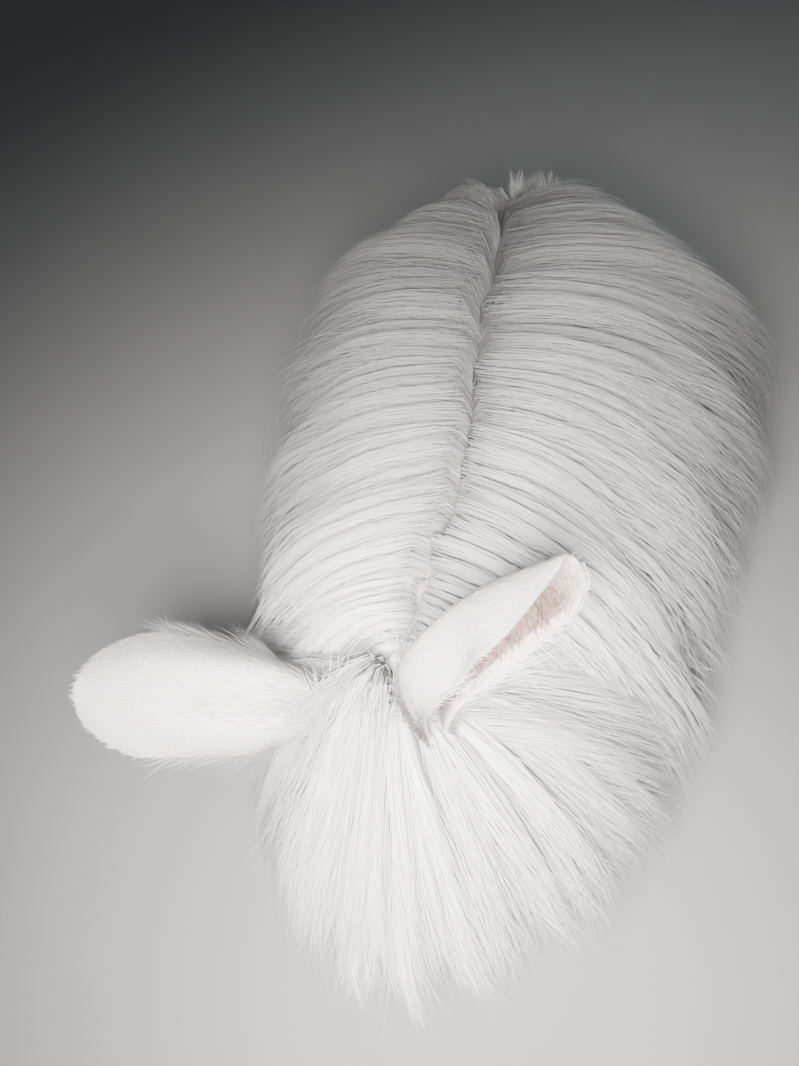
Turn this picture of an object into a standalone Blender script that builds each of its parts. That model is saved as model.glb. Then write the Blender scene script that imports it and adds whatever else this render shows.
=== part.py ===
# Angora rabbit, life size, a still model that stands with its head lowered to feed.
# Metres. +Z is up, the nose points to -Y and +X is the rabbit's own left.
# The origin is on the floor, under the middle of the model's box.

import bpy
import bmesh
import numpy as np
from math import pi
from mathutils import Matrix

GAP = 0.0003  # clear space between neighbouring pieces
PLAY = 0.0005  # how much a cutter is grown over the piece it makes room for
MIDDLE = np.array([0.0025, 0.0105, 0.0])  # middle of the model's box in the measures below

# Body coat: the parting runs from the nape to the root of the tail, and each hem is the line
# of the coat's tips round one side, from the chest to behind the rump.
PARTING = np.array([(0, -0.128, 0.143), (0, -0.075, 0.160), (0, 0.01, 0.170), (0, 0.09, 0.174),
                    (0, 0.165, 0.169), (0, 0.222, 0.144)])
HEM_LEFT = np.array([(0, -0.131, 0.040), (0.072, -0.131, 0.036), (0.118, -0.105, 0.030), (0.127, -0.040, 0.026),
                     (0.142, 0.030, 0.024), (0.151, 0.095, 0.022), (0.138, 0.165, 0.024),
                     (0.085, 0.230, 0.028), (0, 0.254, 0.034)])
HEM_RIGHT = np.array([(0, -0.131, 0.040), (-0.060, -0.131, 0.040), (-0.096, -0.105, 0.034), (-0.116, -0.040, 0.028),
                      (-0.134, 0.030, 0.025), (-0.145, 0.095, 0.023), (-0.133, 0.165, 0.024),
                      (-0.082, 0.230, 0.028), (0, 0.254, 0.034)])
COAT_FULLNESS = 2.5  # 2 is an ellipse, more is squarer
PARTING_LIFT = 0.009  # the coat stands this much above the parting on each side

# Dense inner coat over the flesh, at most half way to the tips.
CORE_SHRINK = np.array([0.72, 0.90, 1.0])
CORE_CENTRE = np.array([0, 0.03, 0.0])
CORE_HEM_HEIGHT = 0.047
CORE_PARTING_DROP = 0.003
CORE_FULLNESS = 2.3
BELLY_DROP = 0.006  # the middle of the belly is this much below the core's hem

# Head coat: the forelock and cheek tufts fall from the crown to these lines of tips.
CROWN_LINE = np.array([(0, -0.180, 0.122), (0, -0.169, 0.138), (0, -0.152, 0.150), (0, -0.134, 0.152)])
FAN_LEFT = np.array([(0.004, -0.237, 0.052), (0.044, -0.228, 0.044), (0.093, -0.192, 0.036), (0.120, -0.136, 0.034)])
FAN_RIGHT = np.array([(0.004, -0.237, 0.052), (-0.024, -0.228, 0.048), (-0.062, -0.194, 0.044),
                      (-0.088, -0.136, 0.045)])
FAN_FULLNESS = 2.2

# Head: a line from the back of the skull to the nose, and sections across it as a share of
# its length, half width, rise above and drop below.
SKULL_BACK = np.array([0.0, -0.119, 0.127])
NOSE = np.array([-0.010, -0.196, 0.061])
HEAD_SECTIONS = ((-0.3, 0.026, 0.020, 0.026), (-0.05, 0.027, 0.022, 0.027), (0.2, 0.0285, 0.0235, 0.029),
                 (0.42, 0.028, 0.0225, 0.029), (0.62, 0.0235, 0.019, 0.027), (0.8, 0.0175, 0.015, 0.021),
                 (0.92, 0.0130, 0.0115, 0.0150), (0.98, 0.0085, 0.0075, 0.0100), (1.0, 0.003, 0.003, 0.004))
EYE_RADIUS = 0.0085
EYE_SHARE = 0.45
EYE_ACROSS = 0.0205
EYE_HIGH = 0.0075

# Parting cuts across the body: place on Y at the middle, and how far they lean forward per metre out.
HEAD_CUT = (-0.132, 0.0)
NECK_CUT = (-0.098, 0.20)
RUMP_CUT = (0.085, -0.12)
CUT_REACH = 0.165  # the cuts end this far out, past the coat

# An ear is a folded sheet. Along its length: half of its width laid flat, and how far each side turns in.
EAR_OUTLINE = np.array([(0.0130, 1.9), (0.0210, 1.5), (0.0275, 1.2), (0.0315, 1.05), (0.0325, 1.0),
                        (0.0310, 0.9), (0.0265, 0.8), (0.0185, 0.7), (0.005, 0.5)])
EAR_WALL = 0.0026
EARS = {
    "ear_left": dict(spine=((0.014, -0.142, 0.137), (0.0150, -0.140, 0.178), (0.038, -0.131, 0.208),
                            (0.0712, -0.1318, 0.235)), opens=(0.507, -0.766, -0.381), fold=1.36, crease=0.45),
    "ear_right": dict(spine=((-0.012, -0.146, 0.137), (-0.042, -0.159, 0.161), (-0.085, -0.166, 0.169),
                             (-0.1230, -0.1700, 0.166)), opens=(0.0, 0.42, -0.91), fold=1.22, crease=0.7),
}

# Limbs: places along the middle, and half width and half height at each.
FORELEG_LINE = np.array([(0.034, -0.084, 0.082), (0.036, -0.098, 0.05), (0.037, -0.112, 0.022),
                         (0.038, -0.128, 0.0092), (0.038, -0.150, 0.0065)])
FORELEG_SIZES = np.array([(0.017, 0.019), (0.0135, 0.0145), (0.0115, 0.0125), (0.0125, 0.0105), (0.009, 0.0075)])
HINDLEG_LINE = np.array([(0.060, 0.085, 0.080), (0.061, 0.118, 0.048), (0.060, 0.128, 0.018),
                         (0.061, 0.105, 0.0100), (0.063, 0.065, 0.0100), (0.065, 0.032, 0.0070)])
HINDLEG_SIZES = np.array([(0.022, 0.024), (0.016, 0.018), (0.0135, 0.0145), (0.0145, 0.0115),
                          (0.0165, 0.0115), (0.011, 0.0085)])
TAIL_LINE = np.array([(0, 0.200, 0.092), (0, 0.226, 0.095), (0, 0.243, 0.107), (0, 0.246, 0.126)])
TAIL_SIZES = np.array([(0.010, 0.010), (0.013, 0.012), (0.012, 0.011), (0.006, 0.006)])
TAIL_COAT = 0.010

# Tiers of locks, from the hem up to the parting: how many on a side, where they leave the core and
# end on the coat as shares of the way from parting to hem, half width, thickness, and the power by
# which they rise through the coat: the less it is, the sooner they lie on the outline.
BODY_TIERS = (dict(count=16, start=0.60, end=1.00, width=0.0165, thick=0.0034, rise=0.8),
              dict(count=13, start=0.40, end=0.88, width=0.0175, thick=0.0032, rise=0.8),
              dict(count=10, start=0.20, end=0.70, width=0.0185, thick=0.0030, rise=0.7),
              dict(count=10, start=0.02, end=0.50, width=0.0185, thick=0.0026, rise=0.5))
HEAD_TIERS = (dict(count=8, start=0.50, end=1.00, width=0.0125, thick=0.0028, rise=0.7),
              dict(count=6, start=0.32, end=0.86, width=0.0130, thick=0.0026, rise=0.7),
              dict(count=3, start=0.12, end=0.64, width=0.0130, thick=0.0024, rise=0.7))
LOCK_STEPS = 4
LOWEST_LOCK = 0.006  # no lock hangs nearer to the floor
SEED = 11


def clear_scene():
    for thing in list(bpy.data.objects):
        bpy.data.objects.remove(thing, do_unlink=True)


def new_collection(name, hidden=False):
    collection = bpy.data.collections.new(name)
    bpy.context.scene.collection.children.link(collection)
    collection.hide_render = hidden
    return collection


def material(name, colour, roughness):
    made = bpy.data.materials.new(name)
    made.use_nodes = True
    shader = made.node_tree.nodes["Principled BSDF"]
    shader.inputs["Base Color"].default_value = (*colour, 1)
    shader.inputs["Roughness"].default_value = roughness
    shader.inputs["Metallic"].default_value = 0
    return made


def mesh_object(name, points, faces, collection, finish=None):
    mesh = bpy.data.meshes.new(name)
    mesh.from_pydata(np.asarray(points, float).tolist(), [], faces)
    made = bpy.data.objects.new(name, mesh)
    collection.objects.link(made)
    if finish:
        mesh.materials.append(finish)
    return made


def grid_faces(rows, columns):
    """Faces of a sheet of points, counted row by row."""
    return [(r * columns + c, r * columns + c + 1, (r + 1) * columns + c + 1, (r + 1) * columns + c)
            for r in range(rows - 1) for c in range(columns - 1)]


def tube_faces(rings, sides):
    """Faces of rings of points joined in order, closed by a face over each end."""
    faces = [(r * sides + s, r * sides + (s + 1) % sides, (r + 1) * sides + (s + 1) % sides, (r + 1) * sides + s)
             for r in range(rings - 1) for s in range(sides)]
    last = (rings - 1) * sides
    return faces + [tuple(range(sides))[::-1], tuple(range(last, last + sides))]


def change_mesh(thing, change):
    """Runs a change on the thing's mesh as a bmesh."""
    shape = bmesh.new()
    shape.from_mesh(thing.data)
    change(shape)
    shape.to_mesh(thing.data)
    shape.free()


def weld(thing, distance=0.00001):
    def change(shape):
        bmesh.ops.remove_doubles(shape, verts=shape.verts, dist=distance)
        bmesh.ops.dissolve_degenerate(shape, edges=shape.edges, dist=distance)
        bmesh.ops.recalc_face_normals(shape, faces=shape.faces)
    change_mesh(thing, change)


def apply_modifiers(thing):
    bpy.context.view_layer.update()
    graph = bpy.context.evaluated_depsgraph_get()
    made = bpy.data.meshes.new_from_object(thing.evaluated_get(graph))
    old = thing.data
    thing.modifiers.clear()
    thing.data = made
    bpy.data.meshes.remove(old)


def combine(thing, other, operation, solver="MANIFOLD"):
    """A Boolean with one object, or with all of a collection, whose objects are then removed."""
    change = thing.modifiers.new(operation.lower(), "BOOLEAN")
    change.operation = operation
    change.solver = solver
    if isinstance(other, bpy.types.Collection):
        change.operand_type = "COLLECTION"
        change.collection = other
        used = list(other.objects)
    else:
        change.object = other
        used = []
    apply_modifiers(thing)
    for piece in used:
        bpy.data.objects.remove(piece, do_unlink=True)


def piece_volume(piece):
    corners = [[vertex.co for vertex in face.verts] for face in piece]
    return sum(a.dot(b.cross(c)) for a, b, c in corners) / 6


def keep_largest(thing):
    """Only the largest closed surface stays."""
    def change(shape):
        bmesh.ops.triangulate(shape, faces=shape.faces)
        left = set(shape.faces)
        pieces = []
        while left:
            stack = [left.pop()]
            piece = set(stack)
            while stack:
                near = {face for edge in stack.pop().edges for face in edge.link_faces if face in left}
                left -= near
                piece |= near
                stack.extend(near)
            pieces.append(piece)
        largest = max(pieces, key=piece_volume)
        bmesh.ops.delete(shape, geom=[face for face in shape.faces if face not in largest], context="FACES")
        bmesh.ops.delete(shape, geom=[v for v in shape.verts if not v.link_faces], context="VERTS")
    change_mesh(thing, change)


def grown(thing, distance, collection):
    """A copy whose surface lies the given distance outside, to cut room for the thing."""
    copy = bpy.data.objects.new(thing.name + "_room", thing.data.copy())
    collection.objects.link(copy)

    def change(shape):
        shape.normal_update()
        moves = [vertex.normal * distance * vertex.calc_shell_factor() for vertex in shape.verts]
        for vertex, move in zip(shape.verts, moves):
            vertex.co += move
    change_mesh(copy, change)
    as_cutter(copy)
    return copy


def as_cutter(thing):
    thing.hide_render = True
    thing.display_type = "WIRE"


def unit(vector):
    return np.asarray(vector, float) / np.linalg.norm(vector)


def along(points, u):
    """Points of a smooth curve through the given points, for u from 0 to 1."""
    points = np.asarray(points, float)
    place = np.clip(np.atleast_1d(u), 0, 1) * (len(points) - 1)
    first = np.minimum(place.astype(int), len(points) - 2)
    t = (place - first)[:, None]
    slopes = np.gradient(points, axis=0)
    a, b = points[first], points[first + 1]
    return ((2 * t**3 - 3 * t**2 + 1) * a + (t**3 - 2 * t**2 + t) * slopes[first]
            + (3 * t**2 - 2 * t**3) * b + (t**3 - t**2) * slopes[first + 1])


def dome(parting, hem, u, v, fullness, lift):
    """A surface that leaves the parting at v 0 and comes down to the hem at v 1 in a quarter superellipse."""
    top = along(parting, u)
    edge = along(hem, u)
    turn = np.clip(np.broadcast_to(v, len(top)), 0, 1) * pi / 2
    reach = np.sin(turn) ** (2 / fullness)
    drop = 1 - np.cos(turn) ** (2 / fullness)
    point = top + (edge - top) * np.stack([reach, reach, drop], axis=1)
    point[:, 2] += lift * np.sin(np.clip(turn * 3, 0, pi / 2)) * (1 - drop)
    return point


def coat(hem, u, v):
    return dome(PARTING, hem, u, v, COAT_FULLNESS, PARTING_LIFT)


def core(hem, u, v):
    """The dense inner coat, on the same directions as the coat over it."""
    inner = CORE_CENTRE + (hem - CORE_CENTRE) * CORE_SHRINK
    inner[:, 2] = CORE_HEM_HEIGHT
    return dome(PARTING - (0, 0, CORE_PARTING_DROP), inner, u, v, CORE_FULLNESS, PARTING_LIFT / 2)


def make_core(name, collection, finish, columns=26, rows=8):
    """Both halves of the core, closed below by a belly."""
    u = np.linspace(0, 1, columns + 1)
    halves = []
    for hem in (HEM_LEFT, HEM_RIGHT):
        half = [core(hem, u, v) for v in np.linspace(0, 1, rows + 1)]
        for share in (0.15, 0.55, 1.0):
            row = half[rows] * (1 - share, 1, 1)
            row[:, 2] -= BELLY_DROP * share * np.sin(pi * u)
            half.append(row)
        halves.append(np.array(half))
    left, right = halves
    left[-1] = right[-1] = (left[-1] + right[-1]) / 2
    grid = np.concatenate([left, right[-2::-1]])
    made = mesh_object(name, grid.reshape(-1, 3), grid_faces(len(grid), columns + 1), collection, finish)
    weld(made)
    return made


def ring(centre, side, up, half_width, rise, drop, sides):
    """A round section that may be higher above its centre than below it."""
    turn = np.arange(sides) * 2 * pi / sides
    high = np.where(np.sin(turn) > 0, rise, drop)
    return centre + np.outer(np.cos(turn) * half_width, side) + np.outer(np.sin(turn) * high, up)


def loft(name, rings, collection, finish=None):
    rings = np.asarray(rings, float)
    made = mesh_object(name, rings.reshape(-1, 3), tube_faces(*rings.shape[:2]), collection, finish)
    weld(made)
    return made


def head_axes():
    forward = unit(NOSE - SKULL_BACK)
    side = unit(np.cross(forward, (0, 0, 1)))
    side = side * np.sign(side[0])
    up = np.cross(side, forward)
    return forward, side, up * np.sign(up[2])


def head_point(share, across=0.0, high=0.0):
    """A place on the head: share of its length, then metres to its left and above its line."""
    forward, side, up = head_axes()
    return SKULL_BACK + (NOSE - SKULL_BACK) * share + side * across + up * high


def ellipsoid(name, centre, axes, radii, collection, segments=10):
    """A sphere stretched along three axes."""
    shape = bmesh.new()
    bmesh.ops.create_uvsphere(shape, u_segments=segments, v_segments=segments // 2 + 2, radius=1)
    turn = Matrix([[axes[column][row] * radii[column] for column in range(3)] for row in range(3)])
    place = turn.to_4x4()
    place.translation = centre
    bmesh.ops.transform(shape, matrix=place, verts=shape.verts)
    bmesh.ops.recalc_face_normals(shape, faces=shape.faces)
    mesh = bpy.data.meshes.new(name)
    shape.to_mesh(mesh)
    shape.free()
    made = bpy.data.objects.new(name, mesh)
    collection.objects.link(made)
    return made


def make_skull(collection, finish):
    """The bare head, with lips, chin, nose and cheeks joined and the nostrils and mouth cut."""
    forward, side, up = head_axes()
    rings = [ring(head_point(share), side, up, half_width, rise, drop, 18)
             for share, half_width, rise, drop in HEAD_SECTIONS]
    head = loft("head", rings, collection, finish)
    axes = (side, forward, up)
    forms = new_collection("head forms", hidden=True)
    for sign in (1, -1):
        ellipsoid("lip", head_point(0.93, sign * 0.0058, -0.0035), axes, (0.0078, 0.0095, 0.0085), forms)
        ellipsoid("cheek", head_point(0.62, sign * 0.015, -0.010), axes, (0.0115, 0.019, 0.014), forms)
        make_lid(sign, forms)
    ellipsoid("chin", head_point(0.85, 0, -0.0135), axes, (0.0085, 0.0105, 0.0065), forms)
    ellipsoid("nose", head_point(0.985, 0, 0.0045), axes, (0.0062, 0.0055, 0.0048), forms)
    combine(head, forms, "UNION")
    cuts = new_collection("head cuts", hidden=True)
    for sign in (1, -1):
        slit = unit(side * sign * 0.75 + up * 0.65)
        ellipsoid("nostril", head_point(1.035, sign * 0.0034, 0.0035),
                  (slit, unit(np.cross(slit, forward)), forward), (0.0030, 0.0008, 0.0035), cuts, 8)
    ellipsoid("mouth", head_point(0.97, 0, -0.0108), axes, (0.0125, 0.0130, 0.0009), cuts)
    ellipsoid("cleft", head_point(1.045, 0, -0.0045), axes, (0.0007, 0.0040, 0.0060), cuts, 8)
    combine(head, cuts, "DIFFERENCE")
    keep_largest(head)
    return head


def eye_centre(sign):
    return head_point(EYE_SHARE, sign * EYE_ACROSS, EYE_HIGH)


def make_lid(sign, collection):
    """A rim round the eye, facing outward, a little forward and up."""
    forward, side, up = head_axes()
    outward = unit(side * sign + forward * 0.22 + up * 0.22)
    long_way = unit(forward - outward * (forward @ outward))
    short_way = np.cross(outward, long_way)
    bpy.ops.mesh.primitive_torus_add(major_segments=14, minor_segments=5, major_radius=EYE_RADIUS * 0.86,
                                     minor_radius=0.0019)
    lid = bpy.context.object
    turn = Matrix([list(row) for row in np.array([long_way * 1.08, short_way * 0.92, outward]).T])
    place = turn.to_4x4()
    place.translation = eye_centre(sign) + outward * 0.0040
    lid.data.transform(place)
    move_to(lid, collection)
    weld(lid)


def make_eye(name, sign, collection, finish):
    bpy.ops.mesh.primitive_uv_sphere_add(segments=14, ring_count=9, radius=EYE_RADIUS)
    made = bpy.context.object
    made.name = name
    made.data.transform(Matrix.Translation(eye_centre(sign)))
    made.data.materials.append(finish)
    move_to(made, collection)
    return made


def move_to(thing, collection):
    for owner in list(thing.users_collection):
        owner.objects.unlink(thing)
    collection.objects.link(thing)


def make_ear(name, collection, finish, length_steps=13, width_steps=8):
    """The ear's middle sheet, folded along its spine, then a wall of even thickness."""
    ear = EARS[name]
    u = np.linspace(0, 1, length_steps + 1)
    line = along(ear["spine"], u)
    ahead = np.gradient(line, axis=0)
    ahead /= np.linalg.norm(ahead, axis=1)[:, None]
    opens = np.array(ear["opens"]) - ahead * (ahead @ np.array(ear["opens"]))[:, None]
    opens /= np.linalg.norm(opens, axis=1)[:, None]
    side = np.cross(ahead, opens)
    half_width, turn_in = along(EAR_OUTLINE, u).T
    w = np.linspace(-1, 1, width_steps + 1)
    bend = w * np.sqrt(1 + ear["crease"] ** 2) / np.sqrt(w**2 + ear["crease"] ** 2)
    share = np.clip(u * 4, 0, 1)
    angle = (turn_in * (1 - share) + turn_in * ear["fold"] * share)[:, None] * bend
    step = half_width[:, None] * 2 / width_steps
    between = (angle[:, 1:] + angle[:, :-1]) / 2
    out = np.pad(np.cumsum(np.cos(between) * step, axis=1), ((0, 0), (1, 0)))
    deep = np.pad(np.cumsum(np.sin(between) * step, axis=1), ((0, 0), (1, 0)))
    middle = width_steps // 2
    out -= out[:, middle:middle + 1]
    deep -= deep[:, middle:middle + 1]
    sheet = line[:, None] + side[:, None] * out[..., None] + opens[:, None] * deep[..., None]
    made = mesh_object(name, sheet.reshape(-1, 3), grid_faces(length_steps + 1, width_steps + 1), collection, finish)
    wall = made.modifiers.new("wall", "SOLIDIFY")
    wall.thickness = EAR_WALL
    wall.offset = 0
    apply_modifiers(made)
    weld(made)
    change_mesh(made, lambda shape: bmesh.ops.triangulate(shape, faces=shape.faces, quad_method="FIXED"))
    return made


def make_limb(name, line, sizes, sign, collection, finish, steps, sides=10, end_share=0.35):
    u = np.linspace(0, 1, steps + 1)
    centres = along(line * (sign, 1, 1), u)
    size = along(sizes, u)
    size[-1] *= end_share
    ahead = np.gradient(centres, axis=0)
    rings = []
    for centre, way, (half_width, half_height) in zip(centres, ahead, size):
        across = unit(np.cross(unit(way), (0, -1, 0.6)))
        across = across * np.sign(across[0])
        rings.append(ring(centre, across, np.cross(across, unit(way)), half_width, half_height, half_height, sides))
    return loft(name, rings, collection, finish)


def make_leg(name, line, sizes, sign, collection, finish, steps, toe_size):
    """A limb with four toes, cut flat at the floor."""
    leg = make_limb(name, line, sizes, sign, collection, finish, steps)
    toes = new_collection(name + " toes", hidden=True)
    tip = line[-1] * (sign, 1, 1)
    for place in (-1.5, -0.5, 0.5, 1.5):
        centre = tip + (place * toe_size * 0.95, 0.004 + abs(place) * 0.0022, -0.0025)
        ellipsoid("toe", centre, np.eye(3), (toe_size * 0.62, toe_size * 1.5, toe_size * 0.85), toes, 8)
    combine(leg, toes, "UNION")
    block = make_block("floor", (-0.5, -0.5, 0.0), (0.5, 0.5, 0.5), new_collection(name + " floor", hidden=True))
    combine(leg, block, "INTERSECT")
    keep_largest(leg)
    return leg


def make_block(name, low, high, collection, low_lean=0.0, high_lean=0.0):
    """A block between two places on Y, each of whose faces may lean forward to both sides."""
    (left, front, bottom), (right, back, top) = low, high
    points = []
    for z in (bottom, top):
        for x, lean in ((left, 1), (0, 0), (right, 1)):
            points.append((x, front - low_lean * abs(x) * lean, z))
        for x, lean in ((right, 1), (0, 0), (left, 1)):
            points.append((x, back - high_lean * abs(x) * lean, z))
    sides = [(i, (i + 1) % 6, 6 + (i + 1) % 6, 6 + i) for i in range(6)]
    ends = [(0, 5, 4, 1), (1, 4, 3, 2), (6, 7, 10, 11), (7, 8, 9, 10)]
    made = mesh_object(name, points, sides + ends, collection)
    weld(made)
    as_cutter(made)
    return made


def make_lock(name, line, outward, half_width, thickness, collection):
    """A flat lock along a line: widest at its middle, tapered to a point, with a low ridge outside."""
    t = np.linspace(0, 1, len(line))
    ahead = np.gradient(line, axis=0)
    ahead /= np.linalg.norm(ahead, axis=1)[:, None]
    across = np.cross(ahead, outward)
    across /= np.linalg.norm(across, axis=1)[:, None]
    face = np.cross(across, ahead)
    wide = half_width * (0.55 + 0.95 * t) * (1 - t**2.2)
    thick = thickness * (1 - 0.7 * t)
    rings = np.stack([line + across * wide[:, None], line + face * thick[:, None], line - across * wide[:, None]],
                     axis=1)[:-1]
    points = np.concatenate([rings.reshape(-1, 3), line[-1:]])
    tip = len(points) - 1
    faces = tube_faces(len(rings), 3)[:-1]
    faces += [(tip - 3 + side, tip - 3 + (side + 1) % 3, tip) for side in range(3)]
    made = mesh_object(name, points, faces, collection)
    change_mesh(made, lambda shape: bmesh.ops.recalc_face_normals(shape, faces=shape.faces))
    return made


def body_line(hem, u, tier, random):
    """Line of one lock: it leaves the core, lifts through the coat and ends on the coat's outline."""
    t = np.linspace(0, 1, LOCK_STEPS + 2)
    v = tier["start"] + (tier["end"] - tier["start"]) * t
    drift = random.uniform(-0.012, 0.012)
    u = np.clip(u + drift * t**2, 0, 1)
    depth = -0.2 + 1.2 * np.clip(t * 1.12, 0, 1) ** tier["rise"]
    inner = core(hem, u, v)
    outer = coat(hem, u, v)
    return inner + (outer - inner) * (depth * random.uniform(0.94, 1.0))[:, None], outer - inner


def head_line(hem, u, tier, random):
    """The same on the head, whose locks leave the skull and hang free of it."""
    t = np.linspace(0, 1, LOCK_STEPS + 2)
    v = tier["start"] + (tier["end"] - tier["start"]) * t
    u = np.clip(u + random.uniform(-0.03, 0.03) * t**2, 0, 1)
    outer = dome(CROWN_LINE, hem, u, v, FAN_FULLNESS, 0.003)
    length = NOSE - SKULL_BACK
    share = np.clip((outer[0] - SKULL_BACK) @ length / (length @ length), 0.1, 0.8)
    middle = SKULL_BACK + length * share
    root = middle + unit(outer[0] - middle) * 0.016
    depth = np.clip(t * 1.25, 0, 1) ** tier["rise"]
    line = root + (outer - root) * (depth * random.uniform(0.95, 1.0))[:, None]
    return line, outer - middle


def add_locks(hems, tiers, line_of, owner, collections, first=0.0, last=1.0):
    """Tiers of locks on both sides, each put with the node that owns its place."""
    random = np.random.default_rng(SEED)
    for hem in hems:
        for number, tier in enumerate(tiers):
            places = np.linspace(first, last, tier["count"] + 1)[:-1] + (0.25 + 0.5 * (number % 2)) / tier["count"]
            for u in places + random.uniform(-0.2, 0.2, tier["count"]) / tier["count"]:
                line, outward = line_of(hem, min(u, 1.0), tier, random)
                node = owner(line)
                width = tier["width"] * random.uniform(0.85, 1.15)
                make_lock("lock", line, outward, width, tier["thick"], collections[node])


def body_owner(line):
    """Which node a lock belongs to, from the place of its middle."""
    x, y, _ = line[len(line) // 2]
    if y < NECK_CUT[0] - NECK_CUT[1] * abs(x):
        return "neck"
    return "torso" if y < RUMP_CUT[0] - RUMP_CUT[1] * abs(x) else "rump"


def make_neck_stub(collection):
    """Flesh of the neck, which meets the back of the head."""
    rings = [ring(centre, (1, 0, 0), (0, 0, 1), 0.0270, 0.024, 0.029, 18)
             for centre in np.array([(0, -0.150, 0.120), (0, -0.125, 0.119), (0, -0.085, 0.110)])]
    return loft("stub", rings, collection)


def make_body(locks, rooms, parts, cutters, finish):
    """Neck, torso and rump: the core with its locks, parted by cuts and cleared for legs, ears and tail."""
    spans = (("neck", HEAD_CUT, NECK_CUT), ("torso", NECK_CUT, RUMP_CUT), ("rump", RUMP_CUT, (0.4, 0.0)))
    for name, (low, low_lean), (high, high_lean) in spans:
        node = make_core(name, parts, finish)
        if name == "neck":
            make_neck_stub(locks[name])
        combine(node, locks[name], "UNION")
        block = make_block("span", (-CUT_REACH, low + GAP / 2, LOWEST_LOCK), (CUT_REACH, high - GAP / 2, 0.4),
                           cutters, low_lean, high_lean)
        combine(node, block, "INTERSECT")
        for room in rooms:
            combine(node, room, "DIFFERENCE")
        keep_largest(node)


def make_tail(parts, cutters, finish):
    """A short tail carried up against the rump, with locks round it, all inside the room cut for it."""
    tail = make_limb("tail", TAIL_LINE, TAIL_SIZES, 1, parts, finish, 6, 8)
    room = make_limb("tail_room", TAIL_LINE, TAIL_SIZES + TAIL_COAT, 1, cutters, None, 8, 12, 0.8)
    as_cutter(room)
    locks = new_collection("tail locks", hidden=True)
    random = np.random.default_rng(SEED)
    t = np.linspace(0, 1, LOCK_STEPS + 1)
    for place, count in ((0.22, 6), (0.45, 4)):
        for angle in np.arange(count) * 2 * pi / count + place * 3:
            angle += random.uniform(-0.2, 0.2)
            centre = along(TAIL_LINE, place + (0.98 - place) * t)
            outward = np.array([np.cos(angle), np.sin(angle) * 0.8, np.sin(angle) * -0.35])
            swell = 0.003 + (TAIL_COAT + 0.004) * np.sin(pi * (0.12 + 0.78 * t)) * random.uniform(0.8, 1)
            line = centre + outward * swell[:, None]
            make_lock("lock", line, np.broadcast_to(outward, line.shape), 0.0095, 0.0024, locks)
    combine(tail, locks, "UNION")
    combine(tail, room, "INTERSECT")
    keep_largest(tail)
    return tail, grown(room, PLAY, cutters)


def main():
    clear_scene()
    parts = new_collection("angora_rabbit")
    cutters = new_collection("cutters", hidden=True)
    wool = material("coat", (0.9, 0.88, 0.86), 0.8)
    short_fur = material("short fur", (0.9, 0.87, 0.84), 0.8)
    ear_skin = material("ear", (0.92, 0.84, 0.81), 0.7)
    ruby = material("eye", (0.4, 0.04, 0.05), 0.08)

    legs = []
    for name, sign in (("left", 1), ("right", -1)):
        legs.append(make_leg("foreleg_" + name, FORELEG_LINE, FORELEG_SIZES, sign, parts, short_fur, 10, 0.0052))
        legs.append(make_leg("hindleg_" + name, HINDLEG_LINE, HINDLEG_SIZES, sign, parts, short_fur, 13, 0.0060))
    ears = [make_ear(name, parts, ear_skin) for name in EARS]
    eyes = [make_eye("eye_" + name, sign, parts, ruby) for name, sign in (("left", 1), ("right", -1))]
    tail, tail_room = make_tail(parts, cutters, wool)
    head = make_skull(parts, wool)

    locks = {name: new_collection(name + " locks", hidden=True) for name in ("neck", "torso", "rump", "head")}
    add_locks((HEM_LEFT, HEM_RIGHT), BODY_TIERS, body_line, body_owner, locks)
    add_locks((FAN_LEFT, FAN_RIGHT), HEAD_TIERS, head_line, lambda line: "head", locks)

    rooms = {thing.name: grown(thing, PLAY, cutters) for thing in legs + ears + eyes}
    rooms["tail"] = tail_room
    body_rooms = [room for name, room in rooms.items() if not name.startswith("eye")]
    make_body(locks, body_rooms, parts, cutters, wool)
    combine(head, locks["head"], "UNION")
    front = make_block("front", (-CUT_REACH, -0.5, LOWEST_LOCK), (CUT_REACH, HEAD_CUT[0] - GAP / 2, 0.4), cutters)
    combine(head, front, "INTERSECT")
    for name, room in rooms.items():
        if not name.startswith(("hindleg", "tail")):
            combine(head, room, "DIFFERENCE")
    keep_largest(head)
    for thing in parts.objects:
        thing.data.transform(Matrix.Translation(-MIDDLE))


main()
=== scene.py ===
# Angora rabbit, life size: skin, long coat, short fur, eyes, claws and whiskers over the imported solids.
# Metres. The nose points to -Y and +X is the rabbit's own left. The measures start from the rabbit's
# own zero, and toFrame moves finished points so that the model's box is centred on the origin.

import bmesh
import bpy
import numpy as np
from mathutils import Matrix


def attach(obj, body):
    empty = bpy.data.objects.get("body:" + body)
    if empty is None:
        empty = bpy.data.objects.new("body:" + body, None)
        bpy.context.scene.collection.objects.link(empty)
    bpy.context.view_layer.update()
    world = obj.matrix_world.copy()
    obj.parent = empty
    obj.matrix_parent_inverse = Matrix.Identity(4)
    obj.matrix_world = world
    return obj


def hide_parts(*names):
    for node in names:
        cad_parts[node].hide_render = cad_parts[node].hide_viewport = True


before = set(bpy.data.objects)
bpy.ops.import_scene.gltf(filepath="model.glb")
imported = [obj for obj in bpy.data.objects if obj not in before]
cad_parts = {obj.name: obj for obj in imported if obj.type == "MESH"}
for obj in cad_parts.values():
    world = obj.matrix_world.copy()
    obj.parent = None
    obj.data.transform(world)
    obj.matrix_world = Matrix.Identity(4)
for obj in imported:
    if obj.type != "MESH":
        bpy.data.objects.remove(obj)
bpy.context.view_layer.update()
print("frame loaded,", len(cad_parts), "nodes")

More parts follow.
